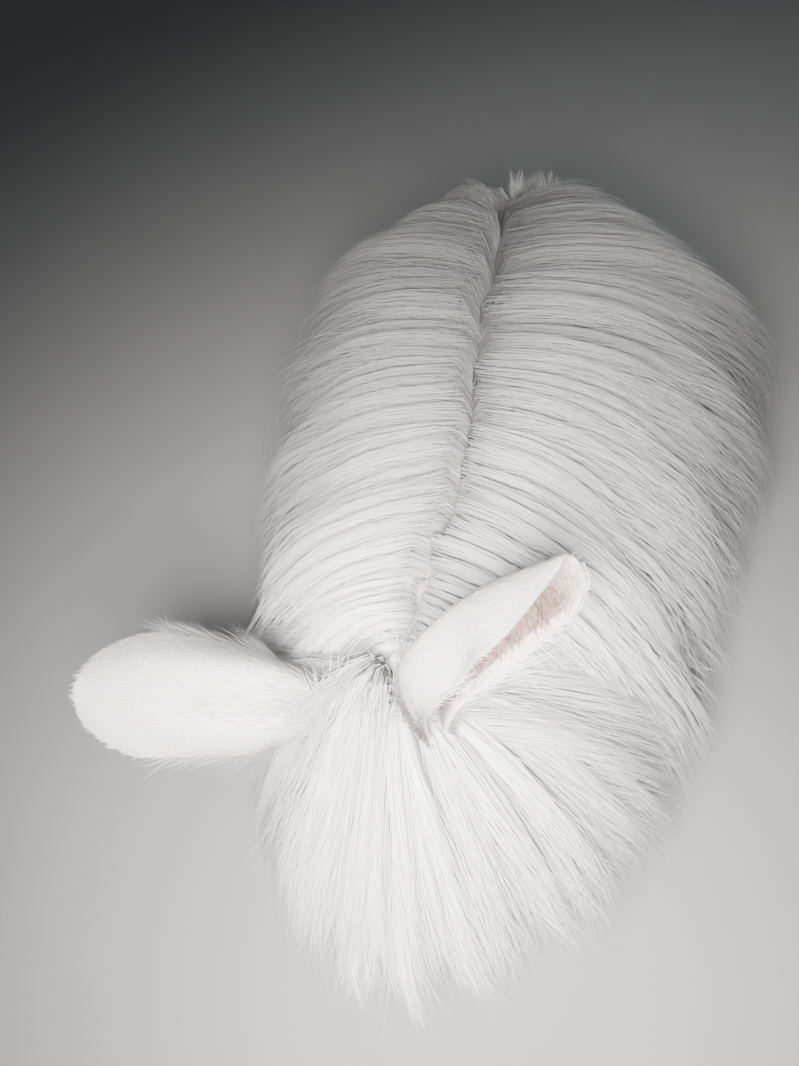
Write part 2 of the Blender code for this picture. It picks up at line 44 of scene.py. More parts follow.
middle = np.array((0.0025, 0.0105, 0.0))
strandShare = 1.0  # quick tries grow fewer strands


# Vectors brought to length one: each divided by its own length.
def unit(vectors):
    return vectors / np.maximum(np.linalg.norm(vectors, axis=-1, keepdims=True), 1e-12)


# Own measures to the frame's: the middle is taken off.
def toFrame(points):
    return np.asarray(points, float) - middle


# A smooth line through points: cubic Hermite blend between neighbours, slopes from their differences.
def along(points, u):
    points = np.asarray(points, float)
    place = np.clip(u, 0, 1) * (len(points) - 1)
    first = np.minimum(place.astype(int), len(points) - 2)
    t = (place - first)[..., None]
    slopes = np.gradient(points, axis=0)
    a, b, slopeA, slopeB = points[first], points[first + 1], slopes[first], slopes[first + 1]
    return ((2 * t**3 - 3 * t**2 + 1) * a + (t**3 - 2 * t**2 + t) * slopeA
            + (3 * t**2 - 2 * t**3) * b + (t**3 - t**2) * slopeB)


# A round bump: 1 at its centre, falling off as the bell of the distance measured in radii.
def bell(distance, radius):
    return np.exp(-(distance / radius) ** 2)


# A smooth step from low to high: three times the square of the share less twice its cube.
def smooth(x, low, high):
    t = np.clip((x - low) / (high - low), 0, 1)
    return t * t * (3 - 2 * t)


# Value of a grid at shares u and w of its rows and columns, straight between its four nearest points.
def gridAt(grid, u, w):
    rows, columns = grid.shape[0] - 1, grid.shape[1] - 1
    r, c = np.clip(u, 0, 1) * rows, np.clip(w, 0, 1) * columns
    r0, c0 = np.minimum(r.astype(int), rows - 1), np.minimum(c.astype(int), columns - 1)
    a, b = (r - r0)[..., None], (c - c0)[..., None]
    return ((grid[r0, c0] * (1 - b) + grid[r0, c0 + 1] * b) * (1 - a)
            + (grid[r0 + 1, c0] * (1 - b) + grid[r0 + 1, c0 + 1] * b) * a)


# Normal of a grid surface: the cross product of its steps along rows and along columns.
def gridNormals(grid):
    return unit(np.cross(np.gradient(grid, axis=0), np.gradient(grid, axis=1)))


# The turns of a ring's points, evenly round it.
def turns(sides):
    return np.arange(sides) * 2 * np.pi / sides


# An object of the given points and faces, shaded smooth.
def meshObject(name, points, faces):
    mesh = bpy.data.meshes.new(name)
    mesh.from_pydata(np.asarray(points, float).tolist(), [], faces)
    made = bpy.data.objects.new(name, mesh)
    bpy.context.scene.collection.objects.link(made)
    mesh.polygons.foreach_set("use_smooth", np.ones(len(mesh.polygons), bool))
    return made


# A tube of rings joined in order, closed by a face over each end. rings is an array (ring, point, 3).
def tube(name, rings):
    count, sides = rings.shape[:2]
    r, s = np.meshgrid(np.arange(count - 1), np.arange(sides), indexing="ij")
    after = (s + 1) % sides
    quads = np.stack([r * sides + s, r * sides + after, (r + 1) * sides + after, (r + 1) * sides + s], axis=-1)
    last = (count - 1) * sides
    faces = quads.reshape(-1, 4).tolist() + [list(range(sides))[::-1], list(range(last, last + sides))]
    made = meshObject(name, rings.reshape(-1, 3), faces)
    tidyMesh(made)
    return made


mergeDistance = 0.00001


# Points closer than the merge distance become one, flat faces go, the rest are turned outward.
def tidyMesh(thing):
    shape = bmesh.new()
    shape.from_mesh(thing.data)
    bmesh.ops.remove_doubles(shape, verts=shape.verts, dist=mergeDistance)
    bmesh.ops.dissolve_degenerate(shape, edges=shape.edges, dist=mergeDistance)
    bmesh.ops.recalc_face_normals(shape, faces=shape.faces)
    bmesh.ops.triangulate(shape, faces=[face for face in shape.faces if len(face.verts) > 4])
    shape.to_mesh(thing.data)
    shape.free()


# The closed forms united with the thing into one surface.
def joinAll(thing, others):
    group = bpy.data.collections.new("joined")
    for other in others:
        group.objects.link(other)
    join = thing.modifiers.new("join", "BOOLEAN")
    join.operation = "UNION"
    join.solver = "MANIFOLD"
    join.operand_type = "COLLECTION"
    join.collection = group
    bpy.context.view_layer.update()
    graph = bpy.context.evaluated_depsgraph_get()
    united = bpy.data.meshes.new_from_object(thing.evaluated_get(graph))
    thing.modifiers.clear()
    thing.data = united
    for other in others:
        bpy.data.objects.remove(other, do_unlink=True)
    bpy.data.collections.remove(group)


# A mesh's points as rows of three.
def meshPoints(thing):
    points = np.empty(len(thing.data.vertices) * 3)
    thing.data.vertices.foreach_get("co", points)
    return points.reshape(-1, 3)


# The mesh's points put to new places.
def setPoints(thing, points):
    thing.data.vertices.foreach_set("co", np.asarray(points, np.float32).ravel())
    thing.data.update()


# One number per point, for a material to read by name.
def pointValue(thing, name, values):
    attribute = thing.data.attributes.new(name, "FLOAT", "POINT")
    attribute.data.foreach_set("value", np.asarray(values, np.float32).ravel())


strand = dict(fullness=1.3, patch=0.003, rootWidth=0.6, midWidth=0.9, tipThickness=0.2, outwardShare=0.6,
              sideShare=0.45)


# Many tapered strands as one mesh. Each strand is a thin three-sided spindle along its line: wide
# across the lie, low outward, full at its middle and drawn out to a point at its tip. Its normals lean
# only a little to the sides, as those of a flat bundle of fine hairs do.
# lines (strand, point, 3), outward (strand, 3) or (strand, point, 3), roots (strand, 2) on the unwrap.
def strandObject(name, lines, outward, halfWidth, thickness, roots, tone):
    count, steps = lines.shape[:2]
    t = np.linspace(0, 1, steps)
    if outward.ndim == 2:
        outward = np.broadcast_to(outward[:, None], lines.shape)
    ahead = unit(np.gradient(lines, axis=1))
    across = unit(np.cross(ahead, outward))
    upward = np.cross(across, ahead)
    taper = (strand["rootWidth"] + strand["midWidth"] * t) * (1 - t ** strand["fullness"])
    wide = halfWidth[:, None, None] * taper[None, :, None]
    high = thickness[:, None, None] * (1 - (1 - strand["tipThickness"]) * t)[None, :, None]
    rings = np.stack([lines + across * wide, lines + upward * high, lines - across * wide], axis=2)[:, :-1]
    points = np.concatenate([rings.reshape(count, -1, 3), lines[:, -1:]], axis=1)
    size = points.shape[1]
    soft = unit(upward + outward * strand["outwardShare"])
    lean = across * strand["sideShare"]
    top, under = (unit(np.concatenate([
        np.stack([way + lean, way, way - lean], axis=2)[:, :-1].reshape(count, -1, 3),
        way[:, -1:]], axis=1)).reshape(-1, 3) for way in (soft, -soft))

    faces, isUnder = [(0, 2, 1)], [False]
    for ring in range(steps - 2):
        for side in range(3):
            a, b = ring * 3 + side, ring * 3 + (side + 1) % 3
            faces += [(a, b, b + 3), (a, b + 3, a + 3)]
            isUnder += [side == 2] * 2
    faces += [(size - 4 + side, size - 4 + (side + 1) % 3, size - 1) for side in range(3)]
    faces, isUnder = np.array(faces), np.array(isUnder + [False, False, True])
    corners = points[0][faces]
    if np.einsum("ij,ij->i", corners[:, 0], np.cross(corners[:, 1], corners[:, 2])).sum() < 0:
        faces = faces[:, ::-1]
    everyFace = (faces[None] + np.arange(count)[:, None, None] * size).reshape(-1, 3)

    mesh = bpy.data.meshes.new(name)
    mesh.vertices.add(count * size)
    mesh.vertices.foreach_set("co", toFrame(points.reshape(-1, 3)).astype(np.float32).ravel())
    mesh.loops.add(everyFace.size)
    mesh.loops.foreach_set("vertex_index", everyFace.astype(np.int32).ravel())
    mesh.polygons.add(len(everyFace))
    mesh.polygons.foreach_set("loop_start", np.arange(0, everyFace.size, 3, dtype=np.int32))
    mesh.polygons.foreach_set("use_smooth", np.ones(len(everyFace), bool))
    mesh.update(calc_edges=True)
    fromUnder = np.tile(np.repeat(isUnder, 3), count)[:, None]
    mesh.normals_split_custom_set(np.where(fromUnder, under[everyFace.ravel()], top[everyFace.ravel()]))

    # Each strand's patch on the bake map: across its width and along its length, at its root's place.
    sideOf = np.concatenate([np.tile((0.0, 0.5, 1.0), steps - 1), (0.5,)])
    alongOf = np.concatenate([np.repeat(t[:-1], 3), (1.0,)])
    patchUv = roots[:, None] + np.stack([sideOf, alongOf], axis=-1)[None] * strand["patch"]
    layer = mesh.uv_layers.new(name="OFBake")
    layer.data.foreach_set("uv", patchUv.reshape(-1, 2)[everyFace.ravel()].astype(np.float32).ravel())

    made = bpy.data.objects.new(name, mesh)
    bpy.context.scene.collection.objects.link(made)
    pointValue(made, "along", np.tile(alongOf, count))
    pointValue(made, "tone", np.repeat(tone, size))
    return made


# A node's output that takes part in sums written as Python.
class Sock:
    def __init__(self, paint, socket):
        self.paint, self.socket = paint, socket

    def maths(self, operation, *values):
        return self.paint.node("ShaderNodeMath", dict(operation=operation), dict(enumerate(values or (self,))))

    def __add__(self, other): return self.maths("ADD", self, other)
    def __radd__(self, other): return self.maths("ADD", other, self)
    def __sub__(self, other): return self.maths("SUBTRACT", self, other)
    def __rsub__(self, other): return self.maths("SUBTRACT", other, self)
    def __mul__(self, other): return self.maths("MULTIPLY", self, other)
    def __rmul__(self, other): return self.maths("MULTIPLY", other, self)
    def clamped(self): return self.maths("MINIMUM", self.maths("MAXIMUM", self, 0.0), 1.0)


# One material: its nodes are added by name, and the sums of their outputs are linked by feed.
class Paint:
    def __init__(self, name):
        self.material = bpy.data.materials.new(name)
        self.material.use_nodes = True
        self.tree = self.material.node_tree
        self.shader = self.tree.nodes["Principled BSDF"]

    # Any node: its settings first, then the values or links of its sockets.
    def node(self, kind, settings=None, sockets=None, output=0):
        made = self.tree.nodes.new(kind)
        for name, value in (settings or {}).items():
            setattr(made, name, value)
        for key, value in (sockets or {}).items():
            self.feed(made.inputs[key], value)
        return Sock(self, made.outputs[output])

    def feed(self, socket, value):
        if isinstance(value, Sock):
            self.tree.links.new(value.socket, socket)
        elif isinstance(value, tuple) and socket.type == "RGBA":
            socket.default_value = (*value, 1.0)[:4]
        else:
            socket.default_value = value

    def mix(self, factor, first, second):
        return self.node("ShaderNodeMix", dict(data_type="RGBA"), {0: factor, 6: first, 7: second}, 2)

    def value(self, name):
        return self.node("ShaderNodeAttribute", dict(attribute_name=name), output=2)

    # The piece's own coordinates.
    def place(self):
        return self.node("ShaderNodeTexCoord", output=3)

    def noise(self, scale, detail, where):
        return self.node("ShaderNodeTexNoise", None, {"Scale": scale, "Detail": detail, "Vector": where})

    def stretched(self, source, scale):
        return self.node("ShaderNodeMapping", None, {"Vector": source, "Scale": scale})

    def bump(self, height, strength, distance):
        return self.node("ShaderNodeBump", None, {"Height": height, "Strength": strength, "Distance": distance})

    def set(self, **values):
        names = dict(colour="Base Color", roughness="Roughness", normal="Normal", coat="Coat Weight",
                     coatRoughness="Coat Roughness", sheen="Sheen Weight", sheenRoughness="Sheen Roughness")
        for key, value in values.items():
            self.feed(self.shader.inputs[names[key]], value)
        return self.material


# Gives a piece its material, hangs it under the root body and hides the frame's nodes that it stands for.
def dress(thing, finish, slot, *nodes):
    thing.data.materials.clear()
    thing.data.materials.append(finish)
    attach(thing, "root")
    if nodes:
        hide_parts(*nodes)
    return thing


# The trunk's parting and hems are the same measures as the solids'. Skin and undercoat are the same dome
# made narrower, shorter and lower.
trunk = dict(
    parting=((0.002, -0.128, 0.143), (-0.003, -0.100, 0.152), (0.001, -0.075, 0.160), (0.005, -0.032, 0.166),
             (0.002, 0.010, 0.170), (-0.003, 0.050, 0.173), (-0.007, 0.090, 0.174), (-0.008, 0.128, 0.173),
             (-0.013, 0.165, 0.169), (-0.017, 0.196, 0.158), (-0.017, 0.222, 0.144)),
    hems=dict(
        left=((0, -0.131, 0.040), (0.072, -0.131, 0.036), (0.118, -0.105, 0.030), (0.127, -0.040, 0.026),
              (0.142, 0.030, 0.024), (0.151, 0.095, 0.022), (0.138, 0.165, 0.024), (0.085, 0.230, 0.028),
              (0, 0.254, 0.034)),
        right=((0, -0.131, 0.040), (-0.060, -0.131, 0.040), (-0.096, -0.105, 0.034), (-0.116, -0.040, 0.028),
               (-0.134, 0.030, 0.025), (-0.145, 0.095, 0.023), (-0.133, 0.165, 0.024), (-0.082, 0.230, 0.028),
               (0, 0.254, 0.034))),
    fullness=2.5, lift=0.009,
    skinAcross=0.50, skinLengthwise=0.84, skinMiddle=0.03, skinHem=0.050, skinDrop=0.020, skinFullness=2.1,
    underAcross=0.75, underLengthwise=0.92, underHem=0.060, underDrop=0.011, underFullness=2.7, bellyDrop=0.006,
    bellyRows=8)


# A quarter superellipse turned from the parting (v 0) down to a hem (v 1); u runs along both lines.
# The lift raises it just beside the parting.
def dome(parting, hem, u, v, fullness, lift):
    u, v = np.broadcast_arrays(u, v)
    top, edge = along(parting, u), along(hem, u)
    turn = np.clip(v, 0, 1) * np.pi / 2
    reach = np.sin(turn) ** (2 / fullness)
    drop = 1 - np.cos(turn) ** (2 / fullness)
    point = top + (edge - top) * np.stack([reach, reach, drop], axis=-1)
    point[..., 2] += lift * np.sin(np.clip(turn * 3, 0, np.pi / 2)) * (1 - drop)
    return point


# The dome of the coat's tips.
def coatAt(hem, u, v):
    return dome(trunk["parting"], hem, u, v, trunk["fullness"], trunk["lift"])


# A dome inside the coat's: the hem drawn in by its shares, the parting lowered and shortened half as much.
def innerAt(kind, hem, u, v):
    across, lengthwise, height, drop, fullness = (
        trunk[kind + part] for part in ("Across", "Lengthwise", "Hem", "Drop", "Fullness"))
    inner = np.array(hem, float)
    inner[:, 0] *= across
    inner[:, 1] = trunk["skinMiddle"] + (inner[:, 1] - trunk["skinMiddle"]) * lengthwise
    inner[:, 2] = height
    top = np.array(trunk["parting"], float)
    top[:, 1] = trunk["skinMiddle"] + (top[:, 1] - trunk["skinMiddle"]) * (0.5 + lengthwise / 2)
    top[:, 2] -= drop
    return dome(top, inner, u, v, fullness, trunk["lift"] / 3)


# Both halves of a dome, closed below by a belly: rows from the parting to the hem, then in to the middle.
def closedDome(name, kind, columns, rows):
    u = np.linspace(0, 1, columns + 1)
    v = np.linspace(0, 1, rows + 1)
    halves = []
    for hem in trunk["hems"].values():
        half = innerAt(kind, hem, u[None], v[:, None])
        edge = half[-1]
        share = np.linspace(0, 1, trunk["bellyRows"] + 1)[1:, None]
        under = np.stack([edge[None, :, 0] * (1 - share), edge[None, :, 1] + share * 0,
                          edge[None, :, 2] - trunk["bellyDrop"] * share * np.sin(np.pi * u)[None]], axis=-1)
        halves.append(np.concatenate([half, under]))
    left, right = halves
    left[-1] = right[-1] = (left[-1] + right[-1]) / 2
    grid = np.concatenate([left, right[-2::-1]])
    total, across = grid.shape[:2]
    r, c = np.meshgrid(np.arange(total - 1), np.arange(across - 1), indexing="ij")
    quads = np.stack([r * across + c, r * across + c + 1, (r + 1) * across + c + 1, (r + 1) * across + c], axis=-1)
    made = meshObject(name, grid.reshape(-1, 3), quads.reshape(-1, 4).tolist())
    tidyMesh(made)
    return made


# The head's sections lie across a line from the back of the skull to the nose.
skull = dict(
    back=np.array((0.0, -0.119, 0.127)), nose=np.array((-0.010, -0.196, 0.061)),
    shares=(-0.12, 0.0, 0.2, 0.42, 0.62, 0.8, 0.92, 0.98, 1.0),
    sections=((0.015, 0.008, 0.020), (0.0250, 0.0180, 0.0250), (0.027, 0.022, 0.0275), (0.0265, 0.021, 0.0275),
              (0.0224, 0.0182, 0.0260), (0.0178, 0.0156, 0.0218), (0.0146, 0.0130, 0.0174),
              (0.0104, 0.0092, 0.0122), (0.0028, 0.0028, 0.0034)),
    rows=170, sides=190, eyeRadius=0.0085, eyeShare=0.45, eyeAcross=0.0190, eyeHigh=0.0075,
    bumps=(  # share, to the side, above, radius, height
        (0.62, 0.018, -0.010, 0.014, 0.0028), (0.925, 0.0070, -0.0040, 0.0062, 0.0024),
        (0.86, 0.0, -0.0165, 0.0065, 0.0018), (0.45, 0.0215, 0.0168, 0.0070, 0.0018),
        (0.45, 0.0265, 0.0075, 0.0088, -0.0026), (0.985, 0.0, 0.0052, 0.0045, 0.0011),
        (0.70, 0.0, 0.0160, 0.0120, 0.0008), (0.30, 0.024, -0.016, 0.015, 0.0015)))
skull["length"] = np.linalg.norm(skull["nose"] - skull["back"])
skull["forward"] = (skull["nose"] - skull["back"]) / skull["length"]
skull["side"] = unit(np.cross(skull["forward"], (0, 0, 1)))
skull["side"] *= np.sign(skull["side"][0])
skull["up"] = np.cross(skull["side"], skull["forward"])
skull["up"] *= np.sign(skull["up"][2])


# A place on the head: a share of its length forward, metres to its left and metres above its line.
def headPoint(share, across=0.0, high=0.0):
    share, across, high = np.broadcast_arrays(share, across, high)
    return (skull["back"] + skull["forward"] * (share * skull["length"])[..., None]
            + skull["side"] * across[..., None] + skull["up"] * high[..., None])


# The same measures of given points.
def headMeasures(points):
    away = points - skull["back"]
    return away @ skull["forward"] / skull["length"], away @ skull["side"], away @ skull["up"]


# Half width, height above and depth below the line, read smoothly between the sections.
def headSection(share):
    place = np.interp(share, skull["shares"], np.linspace(0, 1, len(skull["shares"])))
    return np.moveaxis(along(skull["sections"], place), -1, 0)


# The middle of an eye, and the way it looks: to its side, a little forward and up.
def eyeCentre(sign):
    return headPoint(skull["eyeShare"], sign * skull["eyeAcross"], skull["eyeHigh"])


def eyeOutward(sign):
    return unit(skull["side"] * sign + skull["forward"] * 0.22 + skull["up"] * 0.22)


face = dict(lidWide=1.18, lidTall=0.84, lidRadius=0.0072, lidWidth=0.0015, lidHeight=0.0024, socketDepth=0.0040,
            nostrilAcross=0.0034, nostrilHigh=0.0035, nostrilWidth=0.0006, nostrilLength=0.0028,
            nostrilDepth=0.0016, mouthHigh=-0.0098, mouthCurve=6.0, mouthWidth=0.0007, mouthDepth=0.0013,
            cleftWidth=0.0006, cleftDepth=0.0012)


# The bare head. Each section is half an ellipse above its line and a deeper half below. Round bumps,
# the rims of the lids and the grooves of mouth, cleft and nostrils then move it along its normal.
def makeHead():
    lengthwise = np.linspace(0, 1, skull["rows"])
    share = -0.12 + 1.12 * (1 - (1 - lengthwise) ** 1.9)
    turn = np.arange(skull["sides"]) * 2 * np.pi / skull["sides"]
    wide, rise, drop = (part[:, None] for part in headSection(share))
    across = np.cos(turn)[None] * wide
    high = np.sin(turn)[None] * np.where(np.sin(turn)[None] > 0, rise, drop)
    points = headPoint(share[:, None], across, high)
    normals = unit(headPoint(share[:, None], across / wide**2, high / np.where(high > 0, rise, drop) ** 2)
                   - headPoint(share[:, None]))
    s, x, z = headMeasures(points)
    f = s * skull["length"]
    move = np.zeros_like(f)
    for place, side, above, radius, height in skull["bumps"]:
        for sign in ((1, -1) if side else (1,)):
            away = np.sqrt((f - place * skull["length"])**2 + (x - sign * side)**2 + (z - above)**2)
            move += height * bell(away, radius)
    for sign in (1, -1):
        outward = eyeOutward(sign)
        away = points - eyeCentre(sign)
        flat = away - outward * (away @ outward)[..., None]
        lengthAway, heightAway = flat @ skull["forward"], flat @ skull["up"]
        rim = np.sqrt((lengthAway / face["lidWide"])**2 + (heightAway / face["lidTall"])**2)
        here = smooth(away @ outward, 0.0, 0.003)
        lid = face["lidHeight"] * bell(rim - face["lidRadius"], face["lidWidth"])
        move += here * (lid - face["socketDepth"] * (1 - smooth(rim, 0.0048, 0.0062)))
        aside, above = x - sign * face["nostrilAcross"], z - face["nostrilHigh"]
        slitAcross = aside * 0.65 - sign * above * 0.75
        slitLength = aside * 0.75 * sign + above * 0.65
        slit = bell(slitAcross, face["nostrilWidth"]) * bell(slitLength, face["nostrilLength"])
        move -= face["nostrilDepth"] * slit * smooth(s, 0.95, 0.99)
    mouth = bell(z - (face["mouthHigh"] - face["mouthCurve"] * x**2), face["mouthWidth"])
    move -= face["mouthDepth"] * mouth * smooth(s, 0.82, 0.90) * (1 - smooth(np.abs(x), 0.010, 0.014))
    cleft = bell(x, face["cleftWidth"]) * smooth(z, -0.0105, -0.0085) * (1 - smooth(z, 0.0, 0.002))
    move -= face["cleftDepth"] * cleft * smooth(s, 0.93, 0.97)
    return tube("head_form", points + normals * move[..., None])


limbs = dict(
    foreleg=dict(line=((0.034, -0.084, 0.082), (0.036, -0.098, 0.05), (0.037, -0.112, 0.022),
                       (0.038, -0.128, 0.0092), (0.038, -0.150, 0.0065)),
                 sizes=((0.017, 0.019), (0.0135, 0.0145), (0.0115, 0.0125), (0.0125, 0.0105), (0.009, 0.0075)),
                 toe=0.0052),
    hindleg=dict(line=((0.060, 0.085, 0.080), (0.061, 0.118, 0.048), (0.060, 0.128, 0.018), (0.061, 0.105, 0.0100),
                       (0.063, 0.065, 0.0100), (0.065, 0.032, 0.0070)),
                 sizes=((0.022, 0.024), (0.016, 0.018), (0.0135, 0.0145), (0.0145, 0.0115), (0.0165, 0.0115),
                        (0.011, 0.0085)),
                 toe=0.0060))
tail = dict(line=((0, 0.200, 0.092), (0, 0.226, 0.095), (0, 0.243, 0.107), (0, 0.246, 0.126)),
            sizes=((0.009, 0.009), (0.011, 0.010), (0.010, 0.009), (0.005, 0.005)))
furDepth = 0.0008  # the skin of head and legs lies this far inside the solids


# A round section carried along a line, its size read from the same share of the way.
def limbRings(line, sizes, steps, sides, endShare=0.35):
    u = np.linspace(0, 1, steps + 1)
    centres, size = along(line, u), along(sizes, u) - furDepth
    size[-1] *= endShare
    ahead = unit(np.gradient(centres, axis=0))
    across = unit(np.cross(ahead, (0, -1, 0.6)))
    across *= np.sign(across[:, :1])
    up = np.cross(across, ahead)
    turn = turns(sides)
    return (centres[:, None] + across[:, None] * (np.cos(turn)[None] * size[:, :1])[..., None]
            + up[:, None] * (np.sin(turn)[None] * size[:, 1:])[..., None])


# An ellipsoid: a circle for each height, its radius the root of one less the height squared.
def ellipsoid(name, centre, radii, sides=20, rows=14):
    lift = np.linspace(0.02, 0.98, rows) * np.pi
    turn = turns(sides)
    ring = np.stack([np.sin(lift)[:, None] * np.cos(turn)[None], np.sin(lift)[:, None] * np.sin(turn)[None],
                     np.broadcast_to(-np.cos(lift)[:, None], (rows, sides))], axis=-1)
    return tube(name, np.asarray(centre) + ring * np.asarray(radii))


# Four toes side by side in front of the foot, the outer two a little further back.
def toeCentres(limb, sign):
    tip = np.array(limb["line"][-1]) * (sign, 1, 1)
    place = np.array((-1.5, -0.5, 0.5, 1.5))
    return tip + np.stack([place * limb["toe"] * 0.95, 0.004 + np.abs(place) * 0.0022, place * 0 - 0.0025], axis=1)


# An ear is a sheet folded along its spine. Its outline gives the half width and the turn of its sides.
ears = dict(
    outline=((0.0130, 1.9), (0.0205, 1.5), (0.0265, 1.2), (0.0305, 1.05), (0.0324, 1.0), (0.0326, 0.9),
             (0.0318, 0.8), (0.0300, 0.7), (0.0270, 0.5)),
    wall=0.0024, roundFrom=0.76, hollow=0.0055,
    left=dict(spine=((0.013, -0.143, 0.131), (0.0150, -0.140, 0.178), (0.038, -0.131, 0.208),
                     (0.0712, -0.1318, 0.235)), opens=(0.550, -0.715, -0.430), fold=1.50, crease=0.45),
    right=dict(spine=((-0.012, -0.146, 0.137), (-0.042, -0.159, 0.161), (-0.085, -0.166, 0.169),
                      (-0.1230, -0.1700, 0.166)), opens=(0.0, 0.42, -0.91), fold=1.22, crease=0.7))


# The ear's middle sheet: from the spine, equal steps to each side whose direction turns from across
# towards the way the ear opens, most of the turn close to the spine.
def earSheet(ear, rows=72, columns=48):
    u = np.linspace(0, 1, rows + 1)
    line = along(ear["spine"], u)
    ahead = unit(np.gradient(line, axis=0))
    opens = np.array(ear["opens"])
    opens = unit(opens - ahead * (ahead @ opens)[:, None])
    side = np.cross(ahead, opens)
    halfWidth, turnIn = np.moveaxis(along(ears["outline"], u), -1, 0)
    tip = np.clip((u - ears["roundFrom"]) / (1.004 - ears["roundFrom"]), 0, 1)
    halfWidth = halfWidth * np.sqrt(1 - tip**2)
    w = np.linspace(-1, 1, columns + 1)
    bend = w * np.sqrt(1 + ear["crease"]**2) / np.sqrt(w**2 + ear["crease"]**2)
    share = np.clip(u * 4, 0, 1)
    angle = (turnIn * (1 - share) + turnIn * ear["fold"] * share)[:, None] * bend
    step = halfWidth[:, None] * 2 / columns
    between = (angle[:, 1:] + angle[:, :-1]) / 2
    out = np.pad(np.cumsum(np.cos(between) * step, axis=1), ((0, 0), (1, 0)))
    deep = np.pad(np.cumsum(np.sin(between) * step, axis=1), ((0, 0), (1, 0)))
    out -= out[:, columns // 2, None]
    deep -= deep[:, columns // 2, None]
    deep += ears["hollow"] * bell(u - 0.36, 0.34)[:, None] * (bell(w - 0.12, 0.30) - 0.6 * bell(w + 0.45, 0.3))
    return line[:, None] + side[:, None] * out[..., None] + opens[:, None] * deep[..., None]


# Normals of the sheet that point into the ear's cup.
def cupNormals(ear, sheet):
    normals = gridNormals(sheet)
    flip = np.sign((normals[:, sheet.shape[1] // 2] @ np.array(ear["opens"])).mean())
    return normals * flip


# Half the wall's thickness: it thins evenly to the tip, and at the rims with the fourth power of w.
def halfWall(u, w):
    return ears["wall"] / 2 * (1.15 - 0.45 * u) * (1 - 0.5 * np.abs(w)**4)


# The two faces of the sheet, half a wall to each side of it.
def makeEar(name):
    ear = ears[name]
    sheet = earSheet(ear)
    cup = cupNormals(ear, sheet)
    u = np.linspace(0, 1, sheet.shape[0])[:, None]
    w = np.linspace(-1, 1, sheet.shape[1])[None]
    half = halfWall(u, w)
    outer, inner = sheet - cup * half[..., None], sheet + cup * half[..., None]
    return tube("ear_form_" + name, np.concatenate([outer, inner[:, ::-1]], axis=1))


print("making the skin")
skin = closedDome("skin", "skin", 96, 40)
forms = [makeHead()]
forms.append(tube("neck_form", limbRings(((0, -0.142, 0.118), (0, -0.120, 0.112), (0, -0.085, 0.098)),
                                         ((0.0255, 0.0245), (0.028, 0.026), (0.040, 0.034)), 12, 40, 1.0)))
for name, limb in limbs.items():
    for sign in (1, -1):
        forms.append(tube(name + "_form", limbRings(np.array(limb["line"]) * (sign, 1, 1), limb["sizes"], 44, 36)))
        toe = limb["toe"]
        for centre in toeCentres(limb, sign):
            forms.append(ellipsoid("toe_form", centre, (toe * 0.60, toe * 1.45, toe * 0.80)))
forms.append(tube("tail_form", limbRings(tail["line"], tail["sizes"], 24, 24)))
forms += [makeEar("left"), makeEar("right")]
joinAll(skin, forms)
skinPoints = meshPoints(skin)
skinPoints[:, 2] = np.maximum(skinPoints[:, 2], 0.0004)


# How bare the skin is: 1 on nose, lips, lids and the cup of the ears, low where short fur covers it.
def bareness(points):
    s, x, z = headMeasures(points)
    nose = smooth(s, 0.955, 0.985) * smooth(z, -0.004, -0.001)
    lips = bell(z + 0.0098 + 6.0 * x**2, 0.0011) * smooth(s, 0.84, 0.92)
    bare = np.maximum(nose * 0.85, lips * 0.8)
    for sign in (1, -1):
        away = np.linalg.norm(points - eyeCentre(sign), axis=1)
        bare = np.maximum(bare, 0.9 * (1 - smooth(away, 0.0092, 0.0112)))
    for name in ("left", "right"):
        bare = np.maximum(bare, cupMask(name, points))
    onTail = smooth(points[:, 1], 0.212, 0.222) * (1 - smooth(np.abs(points[:, 0]), 0.014, 0.02))
    onTrunk = smooth(points[:, 1], -0.135, -0.115) * smooth(points[:, 2], 0.040, 0.055) * (1 - onTail)
    return np.maximum(bare, onTrunk * 0.75)


# 1 inside an ear's cup: the nearest place of its sheet is found, and the point lies on the cup's side.
def cupMask(name, points):
    ear = ears[name]
    sheet = earSheet(ear, 36, 24)
    cup = cupNormals(ear, sheet).reshape(-1, 3)
    rims = np.abs(np.linspace(-1, 1, sheet.shape[1]))[None] + np.zeros((sheet.shape[0], 1))
    shares = np.linspace(0, 1, sheet.shape[0])[:, None] + np.zeros((1, sheet.shape[1]))
    flat = sheet.reshape(-1, 3)
    low, high = flat.min(0) - 0.004, flat.max(0) + 0.004
    near = np.flatnonzero(((points > low) & (points < high)).all(axis=1))
    mask = np.zeros(len(points))
    for part in np.array_split(near, max(1, len(near) // 2000)):
        away = np.linalg.norm(points[part][:, None] - flat[None], axis=2)
        best = away.argmin(axis=1)
        inside = np.einsum("ij,ij->i", points[part] - flat[best], cup[best]) > 0.0002
        fade = (1 - 0.75 * smooth(rims.ravel()[best], 0.80, 0.97)) * (1 - 0.5 * smooth(shares.ravel()[best], 0.8, 1))
        back = 0.16 + 0.24 * bell(rims.ravel()[best], 0.5)
        mask[part] = np.where(away.min(axis=1) < 0.004, np.where(inside, fade, back), 0)
    return mask


bare = bareness(skinPoints)
setPoints(skin, toFrame(skinPoints))
pointValue(skin, "bare", bare)
# The cup value draws the skin's pink towards its painted-shade colour deep in the ears' cups.
inCup = np.maximum(cupMask("left", skinPoints), cupMask("right", skinPoints))
pointValue(skin, "cup", smooth(inCup, 0.45, 0.95))
print("skin has", len(skin.data.polygons), "faces")


furWhite = (0.90, 0.875, 0.845)
barePink = (0.74, 0.47, 0.43)
# Pink skin deep in the ears' cups, darkened with painted shade.
cupPinkInShade = (0.150, 0.068, 0.056)
